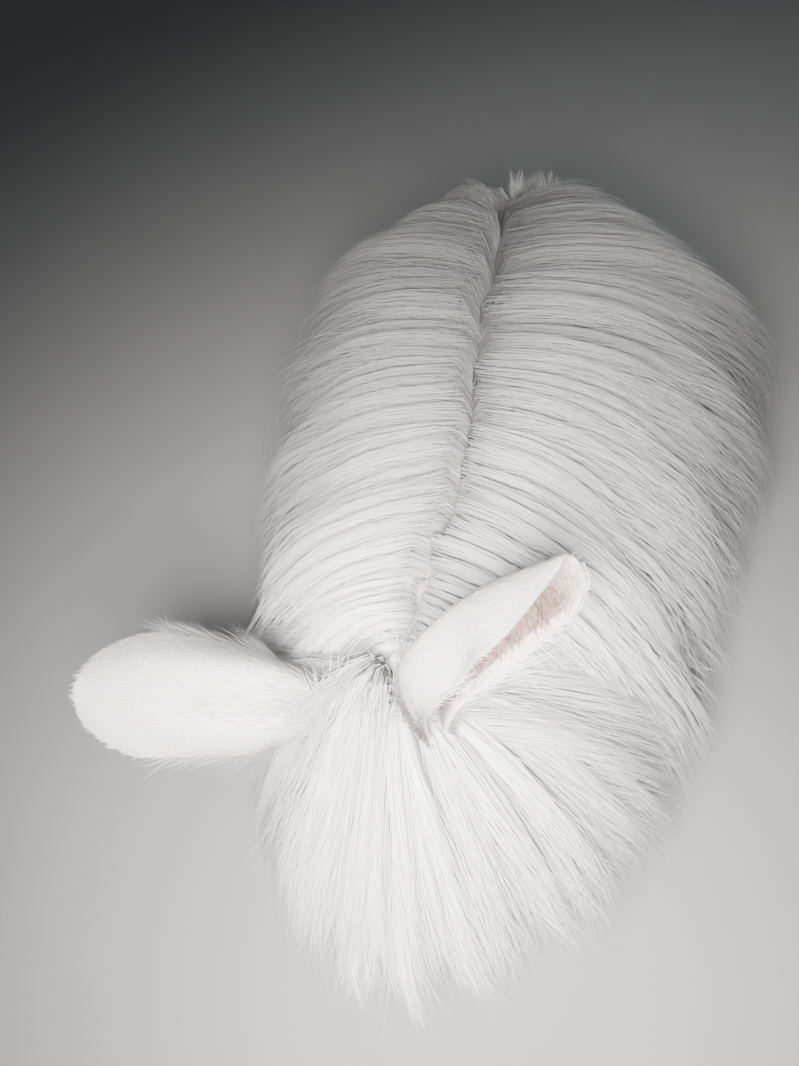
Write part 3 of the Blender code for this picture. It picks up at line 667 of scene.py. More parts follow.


# Short dense fur over pink skin: cream and white clouds, fine hair-like streaks in the bump, pink where bare,
# and in the ears' cups pink darkened with painted shade.
def skinFinish():
    paint = Paint("short fur and skin")
    where = paint.place()
    bare = paint.value("bare")
    clouds = paint.noise(38.0, 4.0, where)
    hairs = paint.noise(900.0, 2.0, paint.stretched(where, (1.0, 0.35, 0.35)))
    veins = 1.0 - (paint.noise(85.0, 2.0, where) - 0.5).maths("ABSOLUTE") * 14.0
    fur = paint.mix((clouds - 0.25) * 1.6, (0.80, 0.765, 0.725), furWhite)
    pink = paint.mix((paint.value("cup") + (veins.clamped() - 0.5) * 0.35).clamped(), barePink, cupPinkInShade)
    colour = paint.mix((bare + (hairs - 0.5) * 0.25 * bare).clamped(), fur, pink)
    height = hairs * (1.0 - bare * 0.75) + clouds * 0.4
    return paint.set(colour=colour, roughness=0.78 - bare * 0.26, sheen=0.25, sheenRoughness=0.45,
                     normal=paint.bump(height, 0.55, 0.0006))


# Silky wool: darker and greyer at the root, painted shade deep among the hairs, white at the tip, each strand
# scaled by its own tone, which holds painted shade as well as random tone.
# The strand's own patch of the bake map is streaked lengthwise, so that it reads as a few fine hairs.
def woolFinish(name, root, tip, roughness=0.52, spread=0.10):
    paint = Paint(name)
    lengthwise, tone = paint.value("along"), paint.value("tone")
    strandMap = paint.node("ShaderNodeUVMap", dict(uv_map="OFBake"))
    hairs = paint.noise(1.0, 1.0, paint.stretched(strandMap, (1700.0, 180.0, 1.0)))
    body = paint.mix((lengthwise * 1.5).clamped(), root, tip)
    dark = (tone - 0.5) * spread + (hairs - 0.5) * 0.30
    shade = 1.0 - (0.06 - dark).clamped()
    colour = paint.node("ShaderNodeVectorMath", dict(operation="SCALE"), {0: body, 3: shade})
    return paint.set(colour=colour, roughness=roughness + (hairs - 0.5) * 0.3)


# Matted wool near the skin: streaks along the lie, read from the piece's own map.
def undercoatFinish():
    paint = Paint("undercoat")
    lie = paint.node("ShaderNodeUVMap", dict(uv_map="lie"))
    streaks = paint.noise(1.0, 4.0, paint.stretched(lie, (420.0, 9.0, 1.0)))
    waves = paint.noise(1.0, 3.0, paint.stretched(lie, (60.0, 12.0, 1.0)))
    colour = paint.mix((streaks - 0.3) * 1.8, (0.82, 0.79, 0.76), (0.93, 0.92, 0.90))
    colour = paint.mix(paint.value("rosy"), colour, barePink)
    return paint.set(colour=colour, roughness=0.8, sheen=0.2, normal=paint.bump(streaks + waves * 0.8, 0.6, 0.002))


# The wool's dark root is painted shade deep in the coat; its tip is white.
woolPaint = woolFinish("silky wool", (0.50, 0.48, 0.46), (0.885, 0.878, 0.865), 0.48, 0.66)
furPaint = woolFinish("short fur tufts", (0.84, 0.80, 0.77), (0.94, 0.93, 0.915), 0.6, 0.10)
velvetPaint = woolFinish("ear velvet", (0.66, 0.53, 0.495), (0.90, 0.875, 0.855), 0.6, 0.55)
# Fur in the ears' cups: pink fur darkened with painted shade.
cupFurInShadePaint = woolFinish("fur in the ear with painted shade", (0.20, 0.11, 0.09), (0.55, 0.44, 0.41), 0.6, 0.3)
skinPaint = skinFinish()
dress(skin, skinPaint, "short_fur", "head", "neck", "torso", "rump", "tail", "foreleg_left", "foreleg_right",
      "hindleg_left", "hindleg_right", "ear_left", "ear_right")


# The inner layer of matted wool, streaked by its own map: lengthwise place and turn about the trunk.
undercoat = closedDome("undercoat", "under", 150, 70)
underPoints = meshPoints(undercoat)
layer = undercoat.data.uv_layers.new(name="lie")
cornerOf = np.empty(len(undercoat.data.loops), np.int32)
undercoat.data.loops.foreach_get("vertex_index", cornerOf)
lie = np.stack([underPoints[:, 1] * 1.8, np.arctan2(np.abs(underPoints[:, 0]), underPoints[:, 2] - 0.04)], axis=1)
layer.data.foreach_set("uv", lie[cornerOf].astype(np.float32).ravel())
# Its surface swells and sinks in soft locks, less near the parting.
swell = (np.sin(underPoints[:, 1] * 210 + np.sin(underPoints[:, 2] * 55) * 2.0)
         * np.sin(underPoints[:, 2] * 60 + underPoints[:, 1] * 30))
axisPoints = underPoints * (0, 1, 0) + (0, 0, 0.09)
outFrom = unit(underPoints - axisPoints)
partingLine = along(trunk["parting"], np.linspace(0, 1, 200))
fromParting = np.abs(underPoints[:, 0] - np.interp(underPoints[:, 1], partingLine[:, 1], partingLine[:, 0]))
groove = bell(fromParting, 0.004) * smooth(underPoints[:, 2], 0.09, 0.12)
swell = swell * 0.0015 * smooth(fromParting, 0.01, 0.04) - groove * 0.006
setPoints(undercoat, toFrame(underPoints + outFrom * swell[:, None]))
pointValue(undercoat, "rosy", groove * (1 - 0.85 * smooth(underPoints[:, 1], -0.09, 0.03)))
dress(undercoat, undercoatFinish(), "coat")


# The long coat. Locks are given as columns, rows and seed, and random shares as lowest and highest.
wool = dict(
    steps=6, halfWidth=0.00042, thickness=0.00016, seed=7, count=4500, lowest=0.004,
    folds=(9, 1, 3), narrowLocks=(44, 7, 4), tufts=(17, 4, 6), strayShare=0.07, straySpread=0.018,
    partingShare=0.17, partingWidth=0.015, rootsEnd=0.90, rootsPower=1.5, gather=(0.55, 0.95), reach=0.36,
    reachSpread=0.08, hemShare=0.955, hemLocks=0.045, thinning=0.38, foldRise=0.0030, foldFall=0.0070,
    lockRise=0.0012, lockFall=0.0020, tuftRise=0.0025, tuftFlick=0.0095, tipFlick=0.012,
    wave=(0.0003, 0.0012), standUp=0.020, standBack=0.006, standAside=0.010, widest=0.148)


# Each strand joins one lock of the row that its root falls in. Locks differ in width along a row.
# It gives the lock's middle, how far the strand is from it (1 at the lock's side) and three random traits.
def lockOf(u, v, columns, rows, seed):
    random = np.random.default_rng(seed)
    edges = np.pad(np.cumsum(random.uniform(0.5, 1.5, (rows, columns)), axis=1), ((0, 0), (1, 0)))
    edges = edges / edges[:, -1:]
    row = np.clip((v * rows).astype(int), 0, rows - 1)
    column = (u[:, None] >= edges[row][:, 1:-1]).sum(axis=1)
    low, high = edges[row, column], edges[row, column + 1]
    traits = random.uniform(-1, 1, (3, rows, columns))[:, row, column]
    return (low + high) / 2, np.minimum(np.abs(u * 2 - low - high) / (high - low), 1), *traits


# A strand deep in the coat stands for many hairs and is broad, one at its surface is fine.
def strandWidths(base, layer, stray, random):
    return base * random.uniform(0.7, 1.3, len(layer)) * np.where(stray, 0.6, 1 + 3.5 * np.clip(1 - layer, 0, 0.4))


# Strands of one side of the trunk. A strand leaves the skin, rises through the coat and lies along
# the outline towards the hem: depth runs from 0 at the skin to 1 at the outline, as one less the square of
# what is left of the way. Broad folds run from the parting to the hem, and narrow locks draw their tips
# together and may stand off at the end. Tufts near the rump's parting stand up, tips past the solids' reach
# are drawn back, and each strand's tone holds painted shade: darker at the parting, deep in the coat, low on
# the flank and at a lock's side, lighter on raised locks, besides a random part.
def trunkStrands(hem, count, uRange, sign, random):
    t = np.linspace(0, 1, wool["steps"])[None]
    u = random.uniform(*uRange, count)
    v = random.uniform(0, 1, count) ** wool["rootsPower"] * wool["rootsEnd"]
    atParting = random.uniform(0, 1, count) < wool["partingShare"]
    v = np.where(atParting, random.uniform(0, wool["partingWidth"], count), v)
    v = np.maximum(v, 0.010 * bell(u - 0.13, 0.06))
    foldPlace = u + 0.020 * np.sin(v * 5 + u * 9) + 0.008 * np.sin(v * 11 - u * 17)
    broad, broadAway, broadLift, _, _ = lockOf(foldPlace, v * 0, *wool["folds"])
    narrow, narrowAway, narrowLift, narrowReach, flick = lockOf(u, v, *wool["narrowLocks"])
    _, _, tuftLift, tuftSwing, tuftFlick = lockOf(u, v, *wool["tufts"])
    stray = random.uniform(0, 1, count) < wool["strayShare"]
    gathered = (narrow + narrowReach * 0.006 - u) * random.uniform(*wool["gather"], count)
    aim = u + (broad - foldPlace) * 0.16 + gathered
    aim = np.where(stray, u + random.normal(0, wool["straySpread"], count), aim + tuftSwing * 0.010)
    aim = aim + random.normal(0, 0.002, count)
    reach = wool["reach"] + 0.05 * narrowReach + random.uniform(-wool["reachSpread"], wool["reachSpread"], count)
    end = wool["hemShare"] + wool["hemLocks"] * narrowReach + random.uniform(-0.035, 0.03, count)
    last = np.minimum(v + reach, np.clip(end, 0.86, 1))
    layer = 1 - wool["thinning"] * random.uniform(0, 1, count) ** 2.0
    uLine = u[:, None] + (aim - u)[:, None] * t**1.5
    vLine = v[:, None] + (last - v)[:, None] * t ** (1 + 1.1 * np.exp(-v / 0.03))[:, None]
    hurry = (1.3 + 5.0 * np.exp(-v / 0.05) * random.uniform(0.15, 1, count))[:, None]
    start = (0.45 * smooth(v, 0.0, 0.15))[:, None]
    depth = start + (layer[:, None] - start) * (1 - (1 - np.clip(t * hurry, 0, 1)) ** 2)
    inner, outer = innerAt("skin", hem, uLine, vLine), coatAt(hem, uLine, vLine)
    outward = unit(outer - inner + (0, 0, 0.0001))
    rise = (wool["foldRise"] * broadLift - wool["foldFall"] * broadAway**3 + wool["lockRise"] * narrowLift
            - wool["lockFall"] * narrowAway**2)[:, None]
    rise = rise * smooth(t, 0.0, 0.3)
    tuftRise = wool["tuftRise"] * tuftLift[:, None] + wool["tuftFlick"] * np.clip(tuftFlick, 0, 1)[:, None] * t**2
    rise = rise + tuftRise * smooth(t, 0, 0.4)
    tipOff = np.clip(flick, -0.3, 1) * wool["tipFlick"] * smooth(last, 0.5, 0.85)
    tipOff = tipOff + stray * random.uniform(0.001, 0.006, count)
    rise = rise + (tipOff[:, None] - 0.001) * t**3
    line = inner + (outer - inner) * depth[..., None] + outward * rise[..., None]
    across = unit(np.cross(unit(np.gradient(line, axis=1)), outward))
    wave = random.uniform(*wool["wave"], count)[:, None] * np.sin(
        2 * np.pi * (random.uniform(0.7, 1.5, count)[:, None] * t + narrowLift[:, None] * 0.4)) * t
    line = line + across * wave[..., None]
    closing = smooth(u, 0.84, 0.94)  # over the rump the two sides close the parting
    overlap = (0.0022 + 0.007 * closing) * np.exp(-v / (0.010 + 0.03 * closing))
    line[..., 0] -= sign * overlap[:, None] * np.exp(-t / 0.2)
    wander = 0.0030 * np.sin(line[..., 1] * 118 + 1) + 0.0016 * np.sin(line[..., 1] * 290)
    line[..., 0] += wander * np.exp(-vLine / 0.06) * smooth(t, 0.05, 0.2)
    stand = smooth(u, 0.84, 0.95) * (1 - smooth(v, 0.10, 0.35)) * (0.15 + np.clip(tuftLift + 0.3, 0, 1))
    stand = (stand * random.uniform(0.4, 1, count))[:, None] * t**1.7
    line[..., 2] += stand * wool["standUp"]
    line[..., 1] += stand * wool["standBack"]
    line[..., 0] += sign * stand * wool["standAside"] * tuftSwing[:, None]
    past = np.clip(np.abs(line[..., 0]) - wool["widest"], 0, None)  # drawn back to where the solids reach
    line[..., 0] -= np.sign(line[..., 0]) * past * 0.50
    line[..., 2] = np.maximum(line[..., 2], wool["lowest"])
    width = strandWidths(wool["halfWidth"], layer, stray, random) * (1 - 0.5 * smooth(stand[:, -1], 0.1, 0.6))
    # Painted shade in the tone: darker deep in the coat, at a lock's side, at the parting and low on the flank;
    # lighter on raised locks.
    tone = 0.66 + 0.12 * tuftLift + 0.12 * narrowLift + 0.5 * (layer - 0.87) - 0.25 * narrowAway**2
    tone = tone - 0.35 * np.exp(-v / 0.02) - 0.34 * smooth(v, 0.22, 0.75) + random.normal(0, 0.12, count)
    return line, outward, u, v, width, np.clip(tone, 0, 1)


# One of the trunk coat's six pieces: a side, from one share of its length to another.
def growTrunk(name, side, uRange, sideNumber):
    random = np.random.default_rng(wool["seed"] + sideNumber * 10 + int(uRange[0] * 9))
    count = int(wool["count"] * strandShare)
    sign = 1 - 2 * sideNumber
    line, outward, u, v, width, tone = trunkStrands(trunk["hems"][side], count, uRange, sign, random)
    roots = np.stack([0.02 + u * 0.96, 0.5 + (v * 0.46 + 0.02) * sign], axis=1)
    made = strandObject(name, line, outward, width, wool["thickness"] * width / wool["halfWidth"], roots, tone)
    dress(made, woolPaint, "coat")
    print(name, len(made.data.polygons), "faces")


for sideNumber, side in enumerate(("left", "right")):
    for part, uRange in (("front", (0.0, 0.34)), ("middle", (0.34, 0.66)), ("rear", (0.66, 1.0))):
        growTrunk("coat_" + side + "_" + part, side, uRange, sideNumber)


# The head's coat: forelock and cheek tufts fall all round from the crown. Locks are the numbers of broad
# and of narrow ones.
fall = dict(strayShare=0.13, straySpread=0.045, gather=(0.55, 0.95), thinning=0.36, deepShare=0.11,
            deepLayer=(0.52, 0.68), deepWidth=2.4, foldRise=0.0025, foldFall=0.0085, lockRise=0.0020,
            lockFall=0.0048, tipFlick=0.007, bend=0.0055)
mane = dict(
    crown=((0.013, -0.131, 0.151), (0.006, -0.140, 0.152), (0, -0.148, 0.151), (-0.006, -0.140, 0.152),
           (-0.011, -0.131, 0.151)),
    hem=((0.120, -0.136, 0.034), (0.093, -0.192, 0.036), (0.044, -0.228, 0.044), (0.004, -0.237, 0.052),
         (-0.024, -0.228, 0.048), (-0.062, -0.194, 0.044), (-0.088, -0.136, 0.045)),
    count=9200, halfWidth=0.00030, thickness=0.00013, seed=21, lift=0.003, locks=(9, 29), reach=0.60,
    overEar=0.024)
ruff = dict(
    crown=((0, -0.154, 0.149), (0.001, -0.130, 0.150), (-0.002, -0.105, 0.153), (0, -0.080, 0.159)),
    hems=(((0.108, -0.156, 0.034), (0.122, -0.128, 0.032), (0.125, -0.095, 0.030), (0.127, -0.050, 0.027)),
          ((-0.082, -0.150, 0.045), (-0.095, -0.125, 0.040), (-0.106, -0.095, 0.034), (-0.115, -0.050, 0.028))),
    neck=((0, -0.150, 0.121), (0, -0.120, 0.117), (0, -0.085, 0.108)), radius=(0.024, 0.028, 0.038),
    count=1700, seed=25, lift=0.004, fullness=2.3, locks=(4, 12), reach=0.46, drift=0.18, startEnd=0.55)


# Where a strand aimed from the head's own line meets the skull: the section's ellipse, cut along the aim.
def skullRoot(target):
    share = np.clip(headMeasures(target)[0], 0.04, 0.78)
    centre = headPoint(share)
    aim = unit(target - centre)
    x, z = aim @ skull["side"], aim @ skull["up"]
    wide, rise, drop = headSection(share)
    radius = 1 / np.sqrt((x / wide)**2 + (z / np.where(z > 0, rise, drop))**2 + 1e-9)
    return centre + aim * (np.minimum(radius, 0.03) * 0.94)[..., None], centre


# The same on the neck, which is round.
def neckRoot(target):
    share = np.clip((target[:, 1] + 0.150) / 0.065, 0, 1)
    centre = along(ruff["neck"], share)
    return centre + unit(target - centre) * along(np.array(ruff["radius"])[:, None], share), centre


# Strands that fall from a crown line over a dome to a hem. Each starts on the flesh under the place it
# heads for, rises to its layer and follows the dome, swung and gathered with the lock it belongs to. Its
# tone holds painted shade: darker near the crown, deep in the coat, at a lock's side and on the side away
# from the light, lighter on raised locks.
def fallStrands(crown, hem, fullness, lift, rootOf, seed, count, locks, reach, drift=0.0, startEnd=0.62):
    random = np.random.default_rng(seed)
    t = np.linspace(0, 1, wool["steps"])[None]
    u, v = random.uniform(-0.02, 1.02, count), random.uniform(0, 1, count) ** 1.4 * startEnd
    broad, broadAway, broadLift, broadSwing, _ = lockOf(u, v * 0, locks[0], 1, seed + 1)
    narrow, narrowAway, narrowLift, narrowReach, flick = lockOf(u, v, locks[1], 4, seed + 2)
    stray = random.uniform(0, 1, count) < fall["strayShare"]
    gathered = (narrow + narrowReach * 0.02 - u) * random.uniform(*fall["gather"], count)
    aim = u + drift + (broad + broadSwing * 0.05 - u) * 0.30 + gathered
    aim = np.where(stray, u + drift + random.normal(0, fall["straySpread"], count), aim)
    aim = aim + random.normal(0, 0.006, count)
    last = np.minimum(v + reach + 0.08 * narrowReach + random.uniform(-0.10, 0.12, count),
                      random.uniform(0.86, 1.0, count))
    layer = 1 - fall["thinning"] * random.uniform(0, 1, count) ** 1.8
    deep = random.uniform(0, 1, count) < fall["deepShare"]
    layer = np.where(deep, random.uniform(*fall["deepLayer"], count), layer)
    uLine = u[:, None] + (aim - u)[:, None] * t**1.3
    vLine = v[:, None] + (last - v)[:, None] * t ** (1 + 0.8 * np.exp(-v / 0.05))[:, None]
    outer = dome(crown, hem, uLine, vLine, fullness(uLine), lift)
    root, centre = rootOf(outer[:, 0])
    depth = layer[:, None] * (1 - (1 - np.clip(t * 1.3, 0, 1)) ** 1.9)
    line = root[:, None] + (outer - root[:, None]) * depth[..., None]
    outward = unit(outer - centre[:, None])
    rise = (fall["foldRise"] * broadLift - fall["foldFall"] * broadAway**3 + fall["lockRise"] * narrowLift
            - fall["lockFall"] * narrowAway**2)[:, None]
    tipOff = np.clip(flick, -0.5, 1) * fall["tipFlick"] + stray * random.uniform(0.000, 0.011, count)
    rise = rise * smooth(t, 0.0, 0.4) + (tipOff[:, None] - 0.001) * t**3
    line = line + outward * rise[..., None]
    across = unit(np.cross(unit(np.gradient(line, axis=1)), outward))
    bend = (fall["bend"] * narrowLift + random.normal(0, 0.0014, count))[:, None] * np.sin(
        np.pi * t * (1.3 + 0.5 * broadSwing)[:, None]) * t
    line = line + across * bend[..., None]
    line[..., 2] = np.maximum(line[..., 2], wool["lowest"])
    width = strandWidths(mane["halfWidth"], layer, stray, random) * np.where(deep, fall["deepWidth"], 1.0)
    # Painted shade in the tone: darker deep in the coat, at a lock's side, near the crown and on the side away from
    # the light; lighter on raised locks.
    tone = 0.62 + 0.14 * broadLift + 0.14 * narrowLift + 0.5 * (layer - 0.87) - 0.25 * narrowAway**2
    tone = tone - 0.36 * np.exp(-v / 0.08) - 0.24 * smooth(u, 0.60, 0.85) + random.normal(0, 0.12, count)
    return line, outward, u, v, width, np.clip(tone, 0, 1)


# One piece from groups of strands that fall from a crown.
def growFall(name, parts):
    line, outward, roots, width, tone = (np.concatenate(part) for part in zip(*parts))
    made = strandObject(name, line, outward, width, mane["thickness"] * width / mane["halfWidth"], roots, tone)
    dress(made, woolPaint, "coat")
    print(name, len(made.data.polygons), "faces")


# The dome of the head is flatter in front than at the cheeks.
def maneFullness(u):
    return 2.2 - 0.65 * bell(u - 0.5, 0.28)


# Some strands of the crown's right side lie over the base of the ear before they fall.
def growMane():
    line, outward, u, v, width, tone = fallStrands(
        mane["crown"], mane["hem"], maneFullness, mane["lift"], skullRoot, mane["seed"],
        int(mane["count"] * strandShare), mane["locks"], mane["reach"])
    t = np.linspace(0, 1, wool["steps"])
    over = (u > 0.53) & (u < 0.88) & (v < 0.14)
    share = np.random.default_rng(29).uniform(0.3, 1.05, (over.sum(), 1))
    line[over, :, 2] += mane["overEar"] * bell(t - 0.30, 0.24) * share
    roots = np.stack([0.02 + u * 0.4, 0.5 + (v * 0.6 + 0.02) * 0.7], axis=1)
    for name, half in (("coat_head_left", u < 0.5), ("coat_head_right", u >= 0.5)):
        growFall(name, [(line[half], outward[half], roots[half], width[half], tone[half])])


# The neck's coat, both sides in one piece.
def growRuff():
    parts = []
    for number, hem in enumerate(ruff["hems"]):
        line, outward, u, v, width, tone = fallStrands(
            ruff["crown"], hem, lambda u: ruff["fullness"], ruff["lift"], neckRoot, ruff["seed"] + number * 5,
            int(ruff["count"] * strandShare), ruff["locks"], ruff["reach"], ruff["drift"], ruff["startEnd"])
        roots = np.stack([0.45 + u * 0.12, 0.5 + (v * 0.6 + 0.02) * (0.7 - 1.4 * number)], axis=1)
        parts.append((line, outward, roots, width, tone))
    growFall("coat_neck", parts)


growMane()
growRuff()
print("head and neck coat done")


tufts = dict(depth=0.0006, lowest=0.0008, flatness=0.4, toneSpread=0.6)


# Short fur on any form: tufts leave the surface, lean along a flow and curl back to it. lift is how far a
# tuft stands off, as a share of its length. A tuft rises as its share of the way less 0.45 of the square.
def shortFur(name, points, normals, flow, length, halfWidth, lift, roots, seed, steps=4, slot="short_fur",
             finish=None, spread=0.25, tone=None):
    random = np.random.default_rng(seed)
    count = len(points)
    flow = unit(flow - normals * np.einsum("ij,ij->i", flow, normals)[:, None])
    flow = unit(flow + np.cross(normals, flow) * random.normal(0, spread, count)[:, None])
    t = np.linspace(0, 1, steps)[None, :, None]
    length = (length * random.uniform(0.65, 1.25, count))[:, None, None]
    rise = (lift * random.uniform(0.6, 1.4, count))[:, None, None]
    line = (points - normals * tufts["depth"])[:, None] + flow[:, None] * length * t + normals[:, None] * (
        tufts["depth"] + length * rise * (t - 0.45 * t**2) * 1.8)
    line[..., 2] = np.maximum(line[..., 2], tufts["lowest"])
    width = halfWidth * random.uniform(0.7, 1.3, count)
    chance = random.uniform(0, 1, count)
    tone = chance if tone is None else np.clip(tone + (chance - 0.5) * tufts["toneSpread"], 0, 1)
    made = strandObject(name, line, normals, width, width * tufts["flatness"], roots, tone)
    return dress(made, finish or furPaint, slot)


# Random places on an ear's outer or inner face, from its sheet: u along it, w across from -1 to 1.
def earPlaces(name, u, w, side):
    ear = ears[name]
    sheet = earSheet(ear)
    cup = cupNormals(ear, sheet)
    lengthwise = unit(np.gradient(sheet, axis=0))
    acrossWay = unit(np.gradient(sheet, axis=1))
    at = [gridAt(grid, u, (w + 1) / 2) for grid in (sheet, cup, lengthwise, acrossWay)]
    half = halfWall(u, w)
    return at[0] + at[1] * (half * side)[:, None], at[1] * side, at[2], at[3]


# An ear's own field of the bake map, its inner face beside its outer one.
def earRoots(name, u, w, side):
    shift = 0.0 if name == "left" else 0.25
    return np.stack([0.52 + shift + (w + 1) / 2 * 0.11 + (0.12 if side > 0 else 0), 0.02 + u * 0.2], axis=1)


# One kind of fur on an ear: its flow is a share of the way to the tip and each tuft's share across.
def earFur(name, kind, u, w, side, ahead, across, length, lift, seed, finish=velvetPaint, **more):
    place, normal, lengthwise, sideways = earPlaces(name, u, w, side)
    flow = lengthwise * ahead + sideways * across[:, None]
    shortFur("ear_" + name + "_" + kind, place, normal, flow, length, earFurs[kind]["halfWidth"], lift,
             earRoots(name, u, w, side), seed, slot="ear", finish=finish, **more)


earFurs = dict(
    velvet=dict(count=4600, halfWidth=0.00028), fringe=dict(count=1100, halfWidth=0.00020),
    wisps=dict(left=140, right=320, halfWidth=0.00013, leanLeft=0.08, leanRight=0.40),
    inside=dict(count=1500, halfWidth=0.00013))


# Velvet on the outer face, thin over its middle, its tone darkened by painted shade in the hollow of its back
# and darker at its base; a fringe and a few longer wisps at the edges; and fur in the cup darkened by painted shade.
def growEar(name, seed):
    random = np.random.default_rng(seed)
    n = int(earFurs["velvet"]["count"] * strandShare)
    u, w = random.uniform(0.0, 0.97, n), random.uniform(-1, 1, n)
    sparse = (np.abs(w) < 0.4) & (np.abs(u - 0.45) < 0.3) & (random.uniform(0, 1, n) < 0.4)
    w = np.where(sparse, np.sign(w) * random.uniform(0.4, 1, n), w)
    # The velvet's tone is painted shade in the hollow of the ear's back; it is darker at the base as well.
    earFur(name, "velvet", u, w, -1, 1.0, w * 0.25, 0.0055 + 0.010 * (1 - smooth(u, 0.05, 0.35)),
           0.07 + 0.08 * (1 - smooth(u, 0.1, 0.4)), seed + 1, steps=3,
           tone=0.70 - 0.80 * bell(w - 0.12, 0.30) * bell(u - 0.34, 0.32) - 0.8 * bell(u, 0.20))
    n = int(earFurs["fringe"]["count"] * strandShare)
    edge = np.where(random.uniform(0, 1, n) < 0.5, -1.0, 1.0)
    u, w = random.uniform(0.12, 0.975, n), edge * random.uniform(0.93, 1.0, n)
    long = (random.uniform(0, 1, n) < 0.20) * (1 - smooth(u, 0.35, 0.75))
    earFur(name, "fringe", u, w, -1, 0.9, edge * random.uniform(-0.05, 0.12, n), 0.0045 + 0.016 * long, 0.04,
           seed + 2)
    wisps = earFurs["wisps"]
    n = int(wisps[name] * strandShare)
    u, w = random.uniform(0.06, 0.72, n), np.where(random.uniform(0, 1, n) < 0.7, -0.97, 0.97)
    lean = wisps["leanRight"] if name == "right" else wisps["leanLeft"]
    earFur(name, "wisps", u, w, -1, 0.9, w * lean, 0.026 * (1 - 0.5 * u), 0.14, seed + 4, steps=6)
    n = int(earFurs["inside"]["count"] * strandShare)
    edge = np.where(random.uniform(0, 1, n) < 0.5, -1.0, 1.0)
    u, w = random.uniform(0.08, 0.95, n), edge * random.uniform(0.35, 0.97, n)
    # The fur inside the cup takes the finish darkened with painted shade.
    earFur(name, "inside", u, w, 1, 0.4, -edge * 0.9, np.full(n, 0.0065), 0.06, seed + 3, cupFurInShadePaint, steps=3)


for number, name in enumerate(("left", "right")):
    growEar(name, 40 + number * 10)
print("ears done")


# Random places on the skin's own faces, each face as often as its area times the density at its middle.
def skinSamples(count, density, seed):
    mesh = skin.data
    mesh.calc_loop_triangles()
    corners = np.empty(len(mesh.loop_triangles) * 3, np.int32)
    mesh.loop_triangles.foreach_get("vertices", corners)
    triangles = skinPoints[corners.reshape(-1, 3)]
    cross = np.cross(triangles[:, 1] - triangles[:, 0], triangles[:, 2] - triangles[:, 0])
    weight = np.linalg.norm(cross, axis=1) * density(triangles.mean(axis=1), unit(cross))
    random = np.random.default_rng(seed)
    chosen = random.choice(len(weight), int(count * strandShare), p=weight / weight.sum())
    a, b = random.uniform(0, 1, (2, len(chosen), 1))
    a, b = np.where(a + b > 1, 1 - a, a), np.where(a + b > 1, 1 - b, b)
    three = triangles[chosen]
    places = three[:, 0] + (three[:, 1] - three[:, 0]) * a + (three[:, 2] - three[:, 0]) * b
    return places, unit(cross[chosen])


# The face's fur lies back from the nose, over all that isn't bare.
def faceDensity(points, normals):
    s, x, z = headMeasures(points)
    near = smooth(s, -0.1, 0.1) * (1 - smooth(np.hypot(x, z), 0.030, 0.034)) * (1 - smooth(s, 1.02, 1.05))
    onHead = np.where(points[:, 1] < -0.130, 1.0, 0.0)
    return near * onHead * np.clip(1 - 1.6 * bareness(points), 0, 1) * (0.3 + 1.2 * smooth(s, 0.3, 0.8))


bodyFurs = dict(face=(6500, 0.00034, 61), leg=(6500, 0.00042, 71), nape=(2400, 0.00026, 75))


def growFace():
    count, halfWidth, seed = bodyFurs["face"]
    places, normals = skinSamples(count, faceDensity, seed)
    s, x, z = headMeasures(places)
    flow = -skull["forward"] + skull["side"] * (np.sign(x) * 0.25)[:, None] - skull["up"] * 0.10
    roots = np.stack([0.05 + np.clip(s, -0.3, 1.1) * 0.12 + 0.3, 0.88 + np.arctan2(z, x) / np.pi * 0.05], axis=1)
    shortFur("face_fur", places, normals, flow, 0.0030 + 0.0055 * (1 - smooth(s, 0.4, 1.0)), halfWidth, 0.20,
             roots, seed + 1, steps=3)


# The legs' fur is densest on the feet and ends under the coat.
def legDensity(points, normals):
    low = 1 - smooth(points[:, 2], 0.060, 0.080)
    onLeg = np.where((np.abs(points[:, 0]) > 0.015) & (points[:, 2] < 0.08) & (normals[:, 2] > -0.8), 1.0, 0.0)
    aheadOfTrunk = (headMeasures(points)[0] < 0.5) | (points[:, 2] < 0.03)
    return low * onLeg * aheadOfTrunk * (1 + 1.5 * (1 - smooth(points[:, 2], 0.02, 0.04)))


# It lies down the legs and forward over the feet.
def growLegs():
    count, halfWidth, seed = bodyFurs["leg"]
    places, normals = skinSamples(count, legDensity, seed)
    low = 1 - smooth(places[:, 2], 0.022, 0.034)
    flow = np.array((0, -1.0, -0.15)) * low[:, None] + np.array((0, -0.2, -1.0)) * (1 - low)[:, None]
    leg = (places[:, 0] > 0) * 1 + (places[:, 1] > -0.02) * 2
    roots = np.stack([0.03 + leg * 0.11 + (places[:, 1] + 0.17) % 0.15 * 0.6, 0.02 + places[:, 2] * 0.9], axis=1)
    shortFur("leg_fur", places, normals, flow, 0.0055 + 0.012 * smooth(places[:, 2], 0.02, 0.06), halfWidth, 0.22,
             roots, seed + 1, steps=3)


# Softer hair of the nape, greyer from the wool's painted root shade, lies back from between the ears to the start of
# the parting.
def napeDensity(points, normals):
    return (smooth(points[:, 1], -0.165, -0.150) * (1 - smooth(points[:, 1], -0.09, -0.07)) * (normals[:, 2] > 0.1)
            * (points[:, 2] > 0.112) * (points[:, 2] < 0.150) * (np.abs(points[:, 0]) < 0.028))


